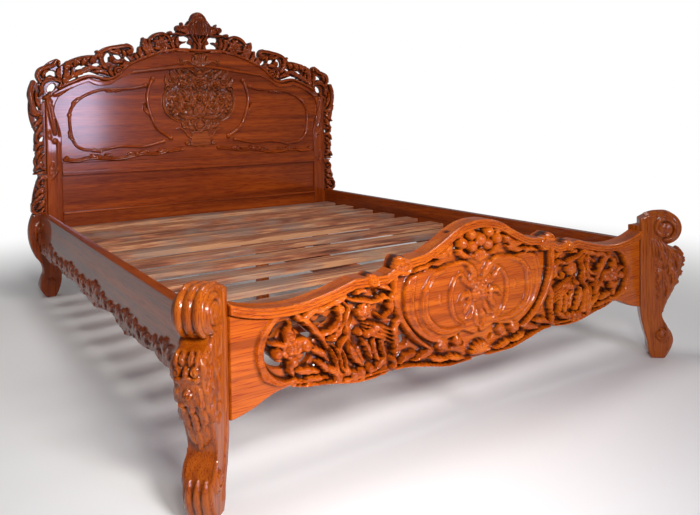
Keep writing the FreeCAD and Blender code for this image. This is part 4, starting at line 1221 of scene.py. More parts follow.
@dataclass
class Footboard:
    """Pierced panel with carved cartouches between the front posts, and its reeded cap."""

    finish: bpy.types.Material
    face: float = -1060.5
    back: float = -1022.5
    step: float = 2.7
    ground: float = -15.0

    def holes(self) -> list[np.ndarray]:
        """Returns the pierced holes of both halves.

        Returns:
            A loop of points for each hole.
        """
        half = [
            # round the rosette
            [(652, 346), (644, 362), (626, 374), (604, 376), (606, 364), (624, 358), (634, 344), (644, 336)],
            [(664, 322), (666, 300), (652, 280), (630, 268), (610, 264), (612, 276), (634, 284), (646, 302),
             (652, 322)],
            [(590, 374), (572, 362), (552, 344), (530, 326), (538, 316), (560, 332), (580, 350), (592, 362)],
            [(552, 296), (562, 278), (580, 266), (566, 258), (546, 270), (540, 288)],
            # middle zone, from the rosette to the cartouche
            [(540, 362), (526, 346), (512, 352), (498, 344), (480, 356), (482, 374), (496, 364), (510, 374),
             (524, 362)],
            [(512, 334), (500, 318), (488, 330), (500, 340)],
            [(452, 396), (436, 406), (416, 402), (424, 392), (440, 388)],
            [(438, 374), (422, 372), (421, 338), (434, 334)],
            [(356, 414), (344, 402), (350, 396), (362, 406)],
            [(384, 392), (366, 392), (354, 380), (372, 378)],
            [(336, 400), (316, 404), (314, 376), (326, 380)],
            [(344, 372), (330, 370), (324, 354), (340, 346)],
            [(318, 348), (304, 342), (302, 326), (314, 330)],
            [(492, 296), (480, 290), (484, 278), (496, 284)],
            [(456, 304), (444, 298), (448, 288), (460, 292)],
            [(424, 304), (402, 296), (404, 270), (416, 276), (422, 290)],
            [(506, 274), (494, 266), (498, 254), (510, 262)],
            [(396, 278), (376, 270), (368, 240), (384, 236), (392, 256)],
            [(360, 290), (346, 284), (348, 256), (358, 260)],
            [(332, 292), (318, 282), (322, 262), (334, 270)],
            [(324, 258), (308, 256), (310, 234), (322, 238)],
            [(272, 278), (254, 272), (248, 252), (258, 248), (276, 258)],
            [(294, 222), (280, 216), (276, 202), (288, 202)],
            # lower edge
            [(112, 218), (104, 206), (90, 206), (96, 220)],
            [(66, 216), (58, 204), (44, 206), (52, 218)],
        ]
        loops = []
        for points in half:
            loops.append(smooth(points, 2.0, closed=True))
            loops.append(smooth([(-u, v) for u, v in points], 2.0, closed=True))
        return loops

    def marks(self) -> list:
        """Returns the carving of the right half, from the post to the centre.

        Returns:
            The marks, in the order in which they are cut.
        """
        channel = Profile.CHANNEL
        reeded = Profile.REEDED
        return [
            # plain board next to the post
            Plateau(((600, 404), (590, 440), (700, 490), (800, 490), (800, 140), (690, 150), (600, 190),
                     (520, 205),
                     (545, 222), (590, 234), (625, 234), (655, 252), (676, 282), (683, 314), (676, 346),
                     (655, 380), (626, 399)), 0.0, 3, True),
            # border scroll round the rose
            Roll(((590, 398), (625, 398), (655, 378), (676, 345), (682, 312), (674, 278), (652, 250),
                  (620, 234), (590, 236)), 20, 14, channel, thin=(0.5, 0.5)),
            Leaf(((600, 392), (580, 410), (560, 404)), 20, 13, 3),
            Leaf(((655, 376), (640, 396), (612, 404)), 18, 11, 3),
            Leaf(((678, 300), (672, 262), (648, 240)), 18, 12, 4),
            # rosette with three buds
            Leaf(((612, 318), (636, 330), (662, 336)), 16, 12, 3),
            Leaf(((600, 290), (604, 268), (596, 244)), 20, 12, 3),
            Leaf(((590, 320), (566, 326), (540, 304)), 18, 12, 4),
            Leaf(((600, 320), (612, 344), (600, 376)), 20, 12, 3),
            Rose((600, 312), 28, 17, 6, 2),
            Volute((604, 344), 15, 16, 90, 1.2, 8),
            *berries([(638, 308), (562, 310), (597, 281)], 14, 19),
            # flames under the cap
            Leaf(((592, 396), (572, 378), (548, 388), (520, 402)), 20, 14, 4),
            Leaf(((556, 396), (520, 392), (486, 404)), 24, 14, 5),
            Leaf(((508, 398), (476, 404), (446, 412)), 24, 13, 4),
            Leaf(((470, 416), (440, 426), (400, 436)), 18, 12, 4),
            # scrolls of the middle zone
            Leaf(((578, 384), (548, 358), (518, 322), (504, 288)), 19, 14, 6),
            Roll(((544, 340), (526, 334), (498, 332), (474, 346), (466, 366), (474, 386)), 14, 14, reeded,
                 2, (0.5, 0.8)),
            Volute((466, 382), 15, 15, 0, 1.3, 8),
            Leaf(((548, 300), (522, 288), (502, 262)), 20, 14, 4),
            Leaf(((590, 256), (556, 250), (522, 242)), 22, 13, 5),
            Leaf(((532, 268), (516, 256), (500, 240)), 18, 13, 4),
            Leaf(((500, 312), (476, 322), (458, 350)), 20, 14, 4),
            Leaf(((520, 250), (490, 236), (470, 212)), 22, 12, 5),
            Roll(((468, 410), (442, 382), (452, 350), (446, 318), (466, 292), (470, 262)), 12, 13, reeded,
                 2, (0.5, 0.7)),
            Roll(((455, 412), (430, 400), (395, 392), (362, 384), (332, 396)), 13, 13, reeded, 2,
                 (0.6, 0.8)),
            Leaf(((420, 412), (404, 420), (384, 414)), 18, 13, 3),
            Rose((394, 364), 23, 16, 5, 3),
            Roll(((356, 352), (342, 340), (322, 348), (310, 366), (322, 388), (346, 390)), 11, 14,
                 thin=(0.7, 0.9)),
            Bead((348, 388), 9, 17),
            *[Roll(((396, 336 - 9 * k), (352, 322 - 10 * k), (306, 300 - 11 * k)), 9, 13, thin=(0.5, 0.5))
              for k in range(4)],
            *[Roll(((492 - 13 * k, 292), (480 - 13 * k, 262), (474 - 13 * k, 234), (456 - 13 * k, 216)), 10,
                   12,
                   thin=(0.4, 0.7)) for k in range(3)],
            Leaf(((440, 292), (426, 258), (400, 228)), 24, 14, 6),
            Leaf(((402, 296), (386, 274), (376, 236)), 18, 13, 5),
            Leaf(((366, 290), (366, 262), (352, 226)), 18, 13, 5),
            Leaf(((344, 290), (340, 262), (330, 232)), 16, 13, 5),
            Leaf(((300, 292), (296, 262), (300, 232)), 18, 12, 4),
            Leaf(((330, 236), (350, 220), (372, 208)), 20, 13, 4),
            Leaf(((310, 232), (300, 214), (310, 198)), 16, 12, 3),
            *berries([(487, 316), (448, 326), (372, 312), (388, 306), (358, 318), (412, 316)], 10, 17),
            *berries([(447, 224), (404, 214), (426, 212), (472, 214), (378, 216)], 12, 13),
            Volute((374, 438), 16, 16, 180, 1.3, 9),
            Leaf(((352, 424), (330, 418), (310, 404)), 18, 13, 3),
            Roll(((455, 206), (420, 202), (370, 200), (320, 202)), 9, 10, reeded, 2, (0.8, 0.5)),
            # volute and stem beside the central cartouche
            Volute((268, 462), 28, 16, -60, -1.6, 13),
            Roll(((296, 470), (300, 420), (296, 370), (282, 330), (262, 298), (230, 262), (180, 225)),
                 18, 14, reeded, 2, (1, 0.6)),
            Leaf(((300, 400), (315, 370), (305, 340)), 18, 11, 3),
            Leaf(((285, 330), (300, 300), (290, 270)), 20, 11, 4),
            # raised field of the cartouche, its double border and the inner ring
            Plateau(((250, 420), (262, 360), (250, 310), (215, 268), (160, 236), (100, 240), (60, 250),
                     (0, 250), (0, 470), (60, 450), (140, 440), (200, 440)), -1.0, 5),
            Roll(((130, 432), (165, 420), (192, 388), (202, 345), (190, 303), (155, 272), (112, 260),
                  (76, 262)), 21, 13, channel, 3, (0.5, 0.5)),
            Roll(((64, 418), (92, 402), (108, 362), (104, 322), (88, 288), (56, 268)), 14, 11,
                 thin=(0.3, 0.4)),
            Roll(((225, 430), (236, 390), (238, 340), (220, 295), (185, 262)), 8, 6, thin=(0.4, 0.4)),
            Leaf(((140, 340), (146, 355), (138, 368)), 8, 5, 2),
            Bead((196, 386), 10, 14),
            # bouquet in the centre
            Leaf(((14, 396), (34, 424), (62, 448)), 26, 17, 4),
            Leaf(((30, 372), (58, 392), (74, 420)), 20, 14, 4),
            Leaf(((30, 352), (62, 350), (82, 330)), 20, 14, 4),
            Leaf(((60, 300), (40, 330), (44, 365)), 20, 12, 4),
            Leaf(((20, 320), (30, 295), (52, 282)), 18, 11, 3),
            Leaf(((10, 300), (14, 275), (6, 250)), 16, 11, 3),
            Rose((26, 385), 20, 16, 5, 2),
            Rose((14, 345), 18, 15, 5, 2),
            # scrolls that end the cap's sections
            Plateau(tuple(spiral((372, 440), 19, 0, 0.95, 1.0)), 15),
            Volute((372, 440), 18, 25, 180, 1.3, 10),
            Plateau(tuple(spiral((284, 474), 18, 0, 0.95, 1.0)), 15),
            Volute((284, 474), 17, 25, 200, -1.3, 9),
            # crown of the footboard
            *berries([(34, 520), (66, 498), (30, 486)], 17, 21),
            Leaf(((60, 520), (96, 524), (124, 500)), 26, 15, 4),
            Leaf(((80, 480), (56, 462), (34, 458)), 22, 13, 4),
            Leaf(((100, 500), (130, 478), (170, 470)), 26, 14, 5),
            Leaf(((110, 470), (150, 455), (190, 458)), 20, 12, 4),
            Leaf(((150, 485), (190, 470), (225, 462)), 18, 12, 4),
            Leaf(((180, 450), (215, 448), (240, 440)), 18, 11, 4),
            # lower edge
            Rose((138, 226), 20, 14, 5, 2),
            Rose((84, 228), 16, 13, 5, 2),
            Leaf(((170, 222), (205, 214), (240, 206)), 24, 12, 5),
            Leaf(((230, 225), (262, 222), (290, 208)), 22, 12, 4),
            Leaf(((120, 190), (90, 182), (60, 176)), 20, 12, 4),
            Leaf(((180, 200), (150, 190), (120, 186)), 20, 12, 4),
            Roll(((300, 196), (240, 192), (180, 180), (120, 168), (60, 166), (30, 166)), 9, 9,
                 thin=(0.4, 0.4)),
            Roll(((600, 222), (560, 214), (500, 208), (440, 196), (380, 190), (320, 194)), 9, 9,
                 thin=(0.4, 0.4)),
            Leaf(((560, 232), (530, 226), (500, 222)), 18, 11, 4),
            Shell((0, 172), 40, 13, 90, 80, 7),
        ]

    def panel(self) -> None:
        """Builds the pierced panel."""
        outer = node_loops("footboard_panel", self.back)[0]
        carving = Field((0, 0), (0, 0), self.step, self.ground, loops=[outer] + self.holes(), grows=True)
        carving.carve(mirrored(self.marks()))
        carving.carve([Rose((0, 366), 30, 20, 6, 3), Shell((0, 436), 38, 15, 90, 60, 5),
                       Bead((0, 502), 20, 24)])
        piece = relief("footboard_carved_panel", carving, facing_foot(self.face), self.back - self.face)
        piece.data.materials.append(self.finish)
        settle(piece, "carved_wood", "footboard_panel")

    def cap(self) -> None:
        """Builds the reeded cap: three reeds along the upper edge."""
        outer = node_loops("footboard_cap", self.back + 5)[0]
        carving = Field((0, 0), (0, 0), 1.3, 0.0, rim=1.5, loops=[outer], reach=15)
        carving.height = 2 + 6 * np.sqrt(1 - (np.clip(carving.cover, 0, 15) % 8.7 / 4.35 - 1) ** 2)
        piece = relief("footboard_reeded_cap", carving, facing_foot(self.face - 5), 48)
        piece.data.materials.append(self.finish)
        settle(piece, "carved_wood", "footboard_cap")

    def build(self) -> None:
        """Builds the footboard."""
        self.panel()
        self.cap()


# Headboard


@dataclass
class Headboard:
    """Panels between two posts, with an arch, a pierced crest and side carvings, and applied carvings."""

    finishes: Finishes
    face: float = 1099.5
    panel_face: float = 1111.5
    back: float = 1131.5
    post_back: float = 1159.5

    def arch_line(self, lift: float) -> Points:
        """Returns the right half of the arch's upper edge, raised by a lift.

        Args:
            lift: how far it is raised.

        Returns:
            Points from the centre line outwards.
        """
        line = [(0, 1195), (100, 1199), (200, 1182), (300, 1145), (370, 1110), (425, 1058), (475, 1037),
                (560, 1050), (640, 1020), (690, 996)]
        return [(u, v + lift) for u, v in line]

    def crest_marks(self) -> list:
        """Returns the carving between the finial and the corner, on the right.

        Returns:
            The marks, in the order in which they are cut.
        """
        channel = Profile.CHANNEL
        base = self.arch_line(9)[3:]
        return [
            # holes, and the long slot over the arch
            Pierced(((480, 1128), (462, 1138), (456, 1168), (470, 1176), (486, 1152))),
            Pierced(((442, 1166), (418, 1168), (402, 1154), (424, 1146))),
            Pierced(((388, 1170), (366, 1152), (358, 1138), (374, 1140), (388, 1152))),
            Pierced(((546, 1112), (520, 1124), (494, 1116), (520, 1108))),
            Pierced(((624, 1092), (602, 1110), (570, 1108), (594, 1094))),
            Pierced(((648, 1118), (634, 1126), (628, 1114), (640, 1106))),
            Pierced(((660, 1018), (610, 1046), (560, 1064), (515, 1052), (472, 1042), (470, 1052),
                     (515, 1066),
                     (560, 1080), (610, 1062), (664, 1032))),
            Roll(tuple(base), 15, 8),
            # large scroll with flowers in it
            Roll(((540, 1122), (522, 1160), (494, 1186), (462, 1200), (425, 1208), (395, 1214), (366, 1214),
                  (352, 1202), (354, 1182), (368, 1172)), 20, 17, channel, thin=(0.5, 0.6)),
            Volute((366, 1186), 18, 18, 0, -1.3, 10),
            Leaf(((470, 1186), (448, 1182), (424, 1170)), 20, 15, 4),
            Rose((424, 1184), 17, 16, 5, 2),
            Rose((450, 1146), 17, 16, 5, 2),
            Leaf(((446, 1128), (424, 1134), (398, 1130)), 24, 15, 4),
            Leaf(((400, 1190), (390, 1172), (396, 1152)), 20, 15, 4),
            Leaf(((398, 1104), (388, 1124), (362, 1130)), 26, 15, 4),
            Leaf(((494, 1128), (506, 1150), (494, 1176)), 24, 15, 4),
            Leaf(((476, 1096), (492, 1112), (512, 1134)), 24, 15, 4),
            Volute((424, 1084), 27, 16, 150, -1.5, 12),
            Leaf(((448, 1062), (462, 1086), (456, 1112)), 24, 14, 4),
            # leaves that lie over one another towards the corner
            Leaf(((640, 1052), (600, 1078), (548, 1090)), 32, 16, 5),
            Leaf(((596, 1086), (548, 1100), (500, 1094)), 26, 15, 5),
            Leaf(((540, 1080), (505, 1084), (468, 1068)), 24, 15, 4),
            Leaf(((664, 1082), (656, 1112), (630, 1140)), 34, 17, 4),
            Leaf(((626, 1108), (618, 1130), (590, 1150)), 32, 17, 4),
            Leaf(((590, 1112), (580, 1136), (552, 1160)), 32, 17, 4),
            Leaf(((552, 1124), (546, 1142), (526, 1160)), 22, 15, 3),
            Leaf(((674, 1018), (664, 1058), (670, 1098)), 36, 16, 5),
            Leaf(((648, 1042), (636, 1068), (642, 1096)), 22, 14, 4),
            *berries([(566, 1116), (608, 1122), (640, 1104), (510, 1106), (410, 1112), (520, 1180)], 8, 16),
        ]

    def finial_marks(self) -> list:
        """Returns the right half of the finial, with what lies on the centre line left out.

        Returns:
            The marks, in the order in which they are cut.
        """
        reeded = Profile.REEDED
        return [
            Pierced(((36, 1212), (60, 1204), (92, 1206), (104, 1224), (88, 1240), (78, 1248), (104, 1256),
                     (104, 1276),
                     (78, 1280), (50, 1268), (58, 1244), (30, 1228))),
            eye((244, 1200), 20, 8, 60), eye((130, 1244), 22, 9, 70),
            Roll(tuple(self.arch_line(9)[:5]), 16, 9),
            # pointed shield with its rolled border
            Plateau(((0, 1404), (22, 1388), (44, 1352), (84, 1322), (100, 1304), (60, 1288), (0, 1284),
                     (-20, 1300), (-20, 1380)), 10, 8),
            *[Roll(((13 * k, 1290), (15 * k, 1330), (7 * k, 1382)), 9, 19, thin=(0.8, 0.3)) for k in (1, 2,
                                                                                                      3, 4)],
            Roll(((4, 1400), (26, 1386), (44, 1352), (70, 1332), (100, 1326)), 11, 17, thin=(0.8, 0.8)),
            Leaf(((58, 1300), (84, 1322), (96, 1350)), 20, 16, 4),
            Volute((108, 1318), 20, 18, -90, 1.5, 10),
            Roll(((60, 1290), (90, 1284), (124, 1290), (146, 1284)), 14, 15, reeded, 2, (0.6, 0.6)),
            Bead((155, 1290), 12, 18),
            # ribs of the V, with leaves beside the holes
            Roll(((6, 1226), (24, 1256), (46, 1292)), 11, 16, thin=(0.6, 1)),
            Roll(((2, 1250), (14, 1268), (22, 1284)), 8, 12, thin=(0.6, 1)),
            Leaf(((34, 1204), (26, 1222), (30, 1246)), 22, 14, 4),
            Leaf(((104, 1250), (88, 1244), (70, 1252)), 13, 14, 3),
            Leaf(((112, 1214), (122, 1240), (114, 1276)), 24, 16, 5),
            Leaf(((132, 1208), (146, 1232), (140, 1268)), 24, 15, 4),
            Leaf(((54, 1194), (92, 1200), (128, 1194)), 16, 13, 4),
            # rose under its dome
            Roll(((268, 1220), (262, 1252), (232, 1278), (196, 1286), (168, 1272), (158, 1248)), 17, 17,
                 Profile.CHANNEL, thin=(0.5, 0.7)),
            Rose((202, 1226), 35, 19, 6, 3),
            *spray((202, 1226), 52, 20, 14, [70, 110, 150, 200, 340, 20]),
            Leaf(((160, 1200), (176, 1192), (200, 1192)), 18, 13, 3),
            # leaves of the outer end
            Leaf(((262, 1170), (282, 1206), (296, 1260)), 42, 17, 5),
            Leaf(((296, 1150), (312, 1180), (316, 1214)), 28, 15, 4),
            Leaf(((240, 1178), (256, 1208), (256, 1240)), 22, 14, 4),
            Leaf(((312, 1140), (330, 1156), (340, 1182)), 20, 14, 3),
            *berries([(148, 1262), (238, 1186), (152, 1198), (276, 1166)], 9, 15),
        ]

    def side_marks(self) -> list:
        """Returns the carving beside the right stile and over its corner.

        Returns:
            The marks, in the order in which they are cut.
        """
        channel = Profile.CHANNEL
        reeded = Profile.REEDED
        return [
            Pierced(((752, 1050), (736, 1062), (714, 1054), (710, 1074), (730, 1082), (750, 1072))),
            Pierced(((750, 984), (744, 1008), (724, 1022), (712, 1010), (720, 990), (736, 980))),
            eye((796, 838), 38, 15, 60), eye((780, 752), 40, 16, 110), eye((786, 650), 36, 14, 80),
            eye((778, 602), 16, 9, 90), eye((794, 906), 34, 9, 80), eye((782, 1010), 30, 8, 90),
            eye((756, 715), 16, 9, 90), eye((772, 940), 22, 8, 90),
            # outer strip and the corner scroll
            Roll(((776, 872), (802, 890), (818, 930), (822, 985), (810, 1028)), 22, 17, channel,
                 thin=(0.5, 0.8)),
            Leaf(((790, 868), (814, 880), (826, 912)), 22, 15, 4),
            Leaf(((782, 900), (796, 940), (802, 990)), 20, 14, 5),
            Roll(((780, 1028), (790, 1056), (778, 1084), (750, 1098), (722, 1108), (706, 1132)), 22, 17,
                 channel,
                 thin=(0.6, 0.4)),
            Leaf(((700, 1106), (694, 1122), (706, 1138)), 16, 14, 3),
            Roll(((770, 976), (772, 1010), (754, 1034), (718, 1040), (690, 1028), (682, 1004)), 17, 17,
                 channel,
                 thin=(0.7, 0.6)),
            Volute((694, 1004), 15, 16, 90, 1.3, 8),
            Leaf(((768, 1050), (762, 1072), (736, 1084)), 18, 15, 3),
            Leaf(((760, 1040), (736, 1050), (714, 1040)), 16, 15, 3),
            Leaf(((692, 1040), (700, 1070), (694, 1100)), 24, 15, 5),
            Leaf(((768, 950), (744, 962), (736, 984)), 20, 15, 4),
            Leaf(((786, 960), (778, 985), (786, 1014)), 14, 13, 3),
            # slanted leaves and scrolls down the side
            Leaf(((774, 855), (798, 832), (818, 812)), 24, 15, 4),
            Leaf(((776, 830), (790, 800), (810, 772)), 24, 15, 4),
            Roll(((772, 800), (792, 792), (804, 768), (796, 742), (774, 732)), 14, 14, reeded, 2,
                 (0.6, 0.6)),
            Leaf(((776, 742), (800, 728), (812, 700)), 22, 14, 4),
            Leaf(((776, 715), (796, 694), (806, 662)), 22, 14, 4),
            Roll(((772, 690), (790, 672), (796, 645), (786, 622), (770, 612)), 14, 14, reeded, 2,
                 (0.6, 0.6)),
            Leaf(((776, 640), (800, 628), (816, 604)), 22, 14, 4),
            Leaf(((772, 600), (795, 596), (812, 590)), 16, 12, 3),
            *berries([(784, 860), (788, 770), (784, 708), (790, 655), (782, 815)], 8, 13),
        ]

    def lower_side_marks(self) -> list:
        """Returns the carving beside the right stile, next to the lower panel.

        Returns:
            The marks, in the order in which they are cut.
        """
        reeded = Profile.REEDED
        return [
            eye((794, 488), 30, 17, 80), eye((792, 440), 44, 26, 70), eye((784, 545), 18, 9, 90),
            Leaf(((764, 566), (786, 584), (806, 606)), 26, 14, 4),
            Leaf(((770, 560), (764, 590), (772, 612)), 20, 12, 4),
            Roll(((772, 575), (792, 566), (802, 545), (792, 522), (774, 512)), 14, 14, reeded, 2,
                 (0.6, 0.6)),
            Leaf(((776, 525), (800, 508), (816, 482)), 24, 15, 5),
            Leaf(((776, 495), (800, 478), (822, 462)), 24, 15, 5),
            Roll(((770, 405), (800, 404), (824, 416), (828, 440), (812, 460), (788, 462)), 16, 15,
                 Profile.CHANNEL, thin=(0.7, 0.5)),
            Leaf(((774, 470), (790, 440), (812, 426)), 24, 14, 5),
            Leaf(((776, 430), (792, 414), (806, 410)), 16, 12, 3),
            *berries([(784, 548), (786, 505), (795, 448)], 8, 13),
        ]

    def vase_marks(self) -> list:
        """Returns the right half of the vase on the arch, with what lies on the centre line left out.

        Returns:
            The marks, in the order in which they are cut.
        """
        return [
            Web(((0, 1120), (0, 1185)), 50),
            Roll(((36, 1128), (62, 1148), (92, 1142)), 12, 9, thin=(0.6, 0.8)),
            Volute((100, 1152), 14, 11, -90, 1.2, 7),
            Leaf(((4, 1120), (34, 1140), (40, 1176)), 24, 13, 4),
            Leaf(((2, 1125), (20, 1150), (22, 1188)), 18, 13, 4),
            Roll(((0, 1120), (16, 1122), (28, 1130)), 12, 12),
            Bead((36, 1182), 9, 13),
        ]

    def basket_marks(self) -> list:
        """Returns the right half of the flower basket, with what lies on the centre line left out.

        Returns:
            The marks, in the order in which they are cut.
        """
        reeded = Profile.REEDED
        channel = Profile.CHANNEL
        return [
            Plateau(((-30, 1110), (0, 1128), (60, 1122), (100, 1136), (112, 1100), (100, 1052), (124, 1014),
                     (168, 992), (186, 940), (178, 890), (150, 852), (110, 824), (66, 806), (56, 776),
                     (48, 750),
                     (56, 712), (70, 698), (0, 694), (-30, 700)), 3, 3),
            *undergrowth(((4, 800), (60, 806), (150, 850), (178, 890), (184, 940), (166, 990), (122, 1012),
                          (98, 1052), (108, 1100), (60, 1122), (4, 1120)), 30, 8, 11, 70),
            # foot
            Plateau(((0, 696), (48, 696), (54, 712), (46, 756), (36, 772), (0, 772), (-20, 730)), 9, 3),
            Volute((72, 712), 16, 13, 200, 1.4, 9),
            Roll(((52, 740), (70, 752), (84, 775), (110, 792), (130, 790)), 12, 12, reeded, 2, (0.9, 0.5)),
            Roll(((6, 776), (24, 790), (28, 815), (12, 838)), 12, 13),
            Leaf(((30, 780), (56, 800), (60, 835)), 24, 13, 4),
            Leaf(((60, 790), (92, 806), (104, 838)), 22, 13, 4),
            # bulb
            Roll(((66, 826), (120, 832), (168, 862), (192, 905), (196, 950), (184, 990)), 17, 17, channel,
                 thin=(0.5, 0.8)),
            Volute((172, 1002), 21, 17, 0, 1.3, 10),
            Roll(((20, 846), (70, 856), (112, 888), (134, 930), (138, 985)), 13, 14, reeded, 2, (0.6, 0.8)),
            Leaf(((40, 842), (84, 850), (122, 866)), 24, 16, 4),
            Leaf(((0, 846), (24, 872), (34, 912)), 26, 17, 4),
            Rose((74, 906), 27, 22, 5, 2),
            Rose((124, 944), 26, 21, 5, 2),
            Leaf(((30, 900), (48, 930), (52, 964)), 22, 17, 4),
            Leaf(((96, 950), (112, 972), (140, 982)), 22, 16, 4),
            *berries([(158, 892), (146, 876), (166, 914), (150, 906), (168, 940), (28, 922), (78, 944)], 10,
                     17),
            # crossed ribbons and bars
            Roll(((2, 1066), (30, 1092), (66, 1114), (86, 1122)), 17, 22, Profile.CHANNEL, thin=(0.6, 0.7)),
            Roll(((76, 1132), (96, 1138), (118, 1138)), 13, 16),
            # flowers above
            Rose((92, 1020), 30, 22, 5, 2),
            Rose((142, 1044), 25, 20, 5, 2),
            Rose((60, 1078), 20, 19, 5, 2),
            Leaf(((150, 1010), (180, 1036), (184, 1072)), 26, 15, 4),
            Leaf(((120, 1052), (150, 1076), (160, 1108)), 26, 16, 4),
            Leaf(((70, 1052), (100, 1076), (130, 1106)), 28, 17, 4),
            Leaf(((30, 1100), (60, 1120), (96, 1138)), 22, 14, 4),
            *berries([(116, 1066), (50, 1000), (88, 1096), (34, 1132), (58, 1046), (84, 968), (100, 982)],
                     10, 17),
        ]

    def moulding_marks(self) -> list:
        """Returns the applied mouldings of the upper panel's right half, with their clips and knobs.

        Returns:
            The marks, in the order in which they are cut.
        """
        return [
            Roll(((284, 1016), (349, 1000), (424, 997), (508, 991), (592, 957), (644, 900), (653, 831),
                  (639, 745), (602, 703), (518, 693), (415, 708), (302, 703), (196, 726)), 16, 12),
            Leaf(((400, 998), (430, 990), (462, 990)), 26, 15, 4),
            Leaf(((490, 992), (460, 988), (430, 992)), 24, 15, 4),
            Leaf(((600, 955), (630, 930), (646, 895)), 24, 15, 4),
            Bead((654, 868), 12, 15),
            Leaf(((652, 800), (652, 770), (640, 738)), 24, 15, 4),
            Leaf(((560, 696), (520, 690), (480, 698)), 24, 15, 4),
            Bead((288, 1016), 12, 15),
            Bead((196, 726), 12, 15),
            Roll(((165, 745), (233, 799), (272, 895), (278, 970), (255, 1045)), 20, 14),
            Bead((160, 744), 15, 17),
            Bead((250, 1050), 15, 17),
            Leaf(((262, 860), (290, 890), (296, 930)), 22, 16, 4),
            Roll(((100, 683), (185, 672), (236, 664), (310, 666), (383, 652), (440, 646), (490, 651),
                  (567, 656),
                  (626, 645), (679, 654)), 22, 16, Profile.REEDED, 2),
            *berries([(185, 676), (340, 668), (520, 660), (670, 660)], 13, 20),
            Leaf(((185, 676), (214, 682), (240, 676)), 22, 18, 3),
            Leaf(((340, 668), (370, 672), (396, 660)), 22, 18, 3),
            Leaf(((520, 660), (550, 668), (576, 662)), 22, 18, 3),
            Leaf(((500, 660), (476, 668), (452, 658)), 22, 18, 3),
            Leaf(((324, 670), (300, 680), (276, 674)), 22, 18, 3),
        ]

    def pierced_carving(self, word: str, marks: list, sides: tuple, nodes: tuple, step: float = 1.6) -> None:
        """Builds pierced carvings inside their CAD pieces' outline, one for each side.

        Args:
            word: word that ends the names of the pieces.
            marks: the carving of the right one.
            sides: 1 for the right, -1 for the left.
            nodes: the CAD nodes that they stand for, the right one first.
            step: distance between the grid's lines.
        """
        outer = node_loops(nodes[0], self.face)[0]
        carving = Field((0, 0), (0, 0), step, -9.0, loops=[outer], grows=True).carve(marks)
        for side, node in zip(sides, nodes):
            piece = relief(node + "_" + word, carving, facing_foot(self.face, side), self.back - self.face)
            upright = "side" in node
            piece.data.materials.append(self.finishes.head_up if upright else self.finishes.head_across)
            settle(piece, "carved_wood", node)

    def applied(
        self, name: str, marks: list, box: tuple, face: float, nodes: tuple, finish: bpy.types.Material,
        step: float = 1.6,
    ) -> None:
        """Builds a carving that is glued on a flat face.

        Args:
            name: name of the piece.
            marks: the carving.
            box: lowest and highest u and v of the wood.
            face: where the flat face lies.
            nodes: the CAD nodes that it stands for.
            finish: its finish.
            step: distance between the grid's lines.
        """
        carving = Field(box[0], box[1], step, 0.0, rim=1.6).carve(marks)
        piece = relief(name, carving, facing_foot(face), 0.6)
        piece.data.materials.append(finish)
        settle(piece, "carved_wood", *nodes)

    def crest(self) -> None:
        """Builds the crest, the finial and the carvings beside the stiles."""
        both = (1, -1)
        self.pierced_carving("leaves", self.crest_marks(), both,
                             ("crest_carving_right", "crest_carving_left"))
        self.pierced_carving(
            "scrolls", self.side_marks(), both, ("side_carving_upper_right", "side_carving_upper_left")
        )
        self.pierced_carving(
            "scrolls", self.lower_side_marks(), both, ("side_carving_lower_right", "side_carving_lower_left")
        )
        middle = [
            Roll(((0, 1290), (0, 1340), (0, 1386)), 10, 20, thin=(0.8, 0.3)), Bead((0, 1396), 12, 18),
            *berries([(-18, 1292), (0, 1288), (18, 1292)], 9, 18),
            Leaf(((0, 1205), (0, 1240), (0, 1276)), 26, 14, 5),
        ]
        self.pierced_carving("shield", mirrored(self.finial_marks()) + middle, (1,), ("crest_finial",))

    def arch(self) -> None:
        """Builds the arch: a board with a bead and a hollow along its lower edge."""
        outer = node_loops("headboard_arch", self.panel_face)[0]
        carving = Field((0, 0), (0, 0), 2.4, 0.0, rim=2.0, loops=[outer], reach=30)
        lower = carving.vv < np.interp(np.abs(carving.uu), (0, 345, 425, 475, 560, 640, 725),
                                       (1150, 1090, 1020, 1000, 1020, 1000, 960))
        depth = np.clip(carving.cover, 0, 30)
        bead = 6 * np.sqrt(np.clip(1 - ((depth - 7) / 7) ** 2, 0, 1))
        hollow = -4 * np.clip(1 - ((depth - 21) / 7) ** 2, 0, 1)
        carving.height = np.where(lower, bead + hollow, 0)
        piece = relief("headboard_beaded_arch", carving, facing_foot(self.face), self.panel_face - self.face)
        piece.data.materials.append(self.finishes.head_across)
        settle(piece, "carved_wood", "headboard_arch")

    def stile_marks(self) -> list:
        """Returns the carving on the right post.

        Returns:
            The marks, in the order in which they are cut.
        """
        reeded = Profile.REEDED
        return [
            Roll(((708, 605), (708, 670), (708, 735)), 13, 4),
            Leaf(((738, 575), (740, 610), (734, 645)), 26, 7, 5),
            Leaf(((745, 560), (722, 590), (716, 620)), 16, 6, 4),
            Bead((722, 745), 12, 9),
            Leaf(((738, 755), (748, 778), (742, 800)), 18, 7, 3),
            Roll(((722, 780), (734, 870), (752, 965)), 26, 12, reeded, 3, (0.5, 0.8)),
            Roll(((702, 770), (712, 850), (730, 900)), 10, 8, thin=(0.5, 0.5)),
            Roll(((738, 935), (750, 945), (762, 952)), 16, 9, reeded, 3),
            # leg
            Rose((755, 75), 18, 7, 5, 2),
            Leaf(((800, 360), (820, 320), (815, 270)), 30, 7, 5),
            Leaf(((770, 340), (790, 290), (790, 240)), 26, 6, 5),
            Hollow(((715, 240), (735, 180), (738, 120)), 9, 3),
            Volute((800, 330), 20, 7, 60, -1.4, 9),
        ]

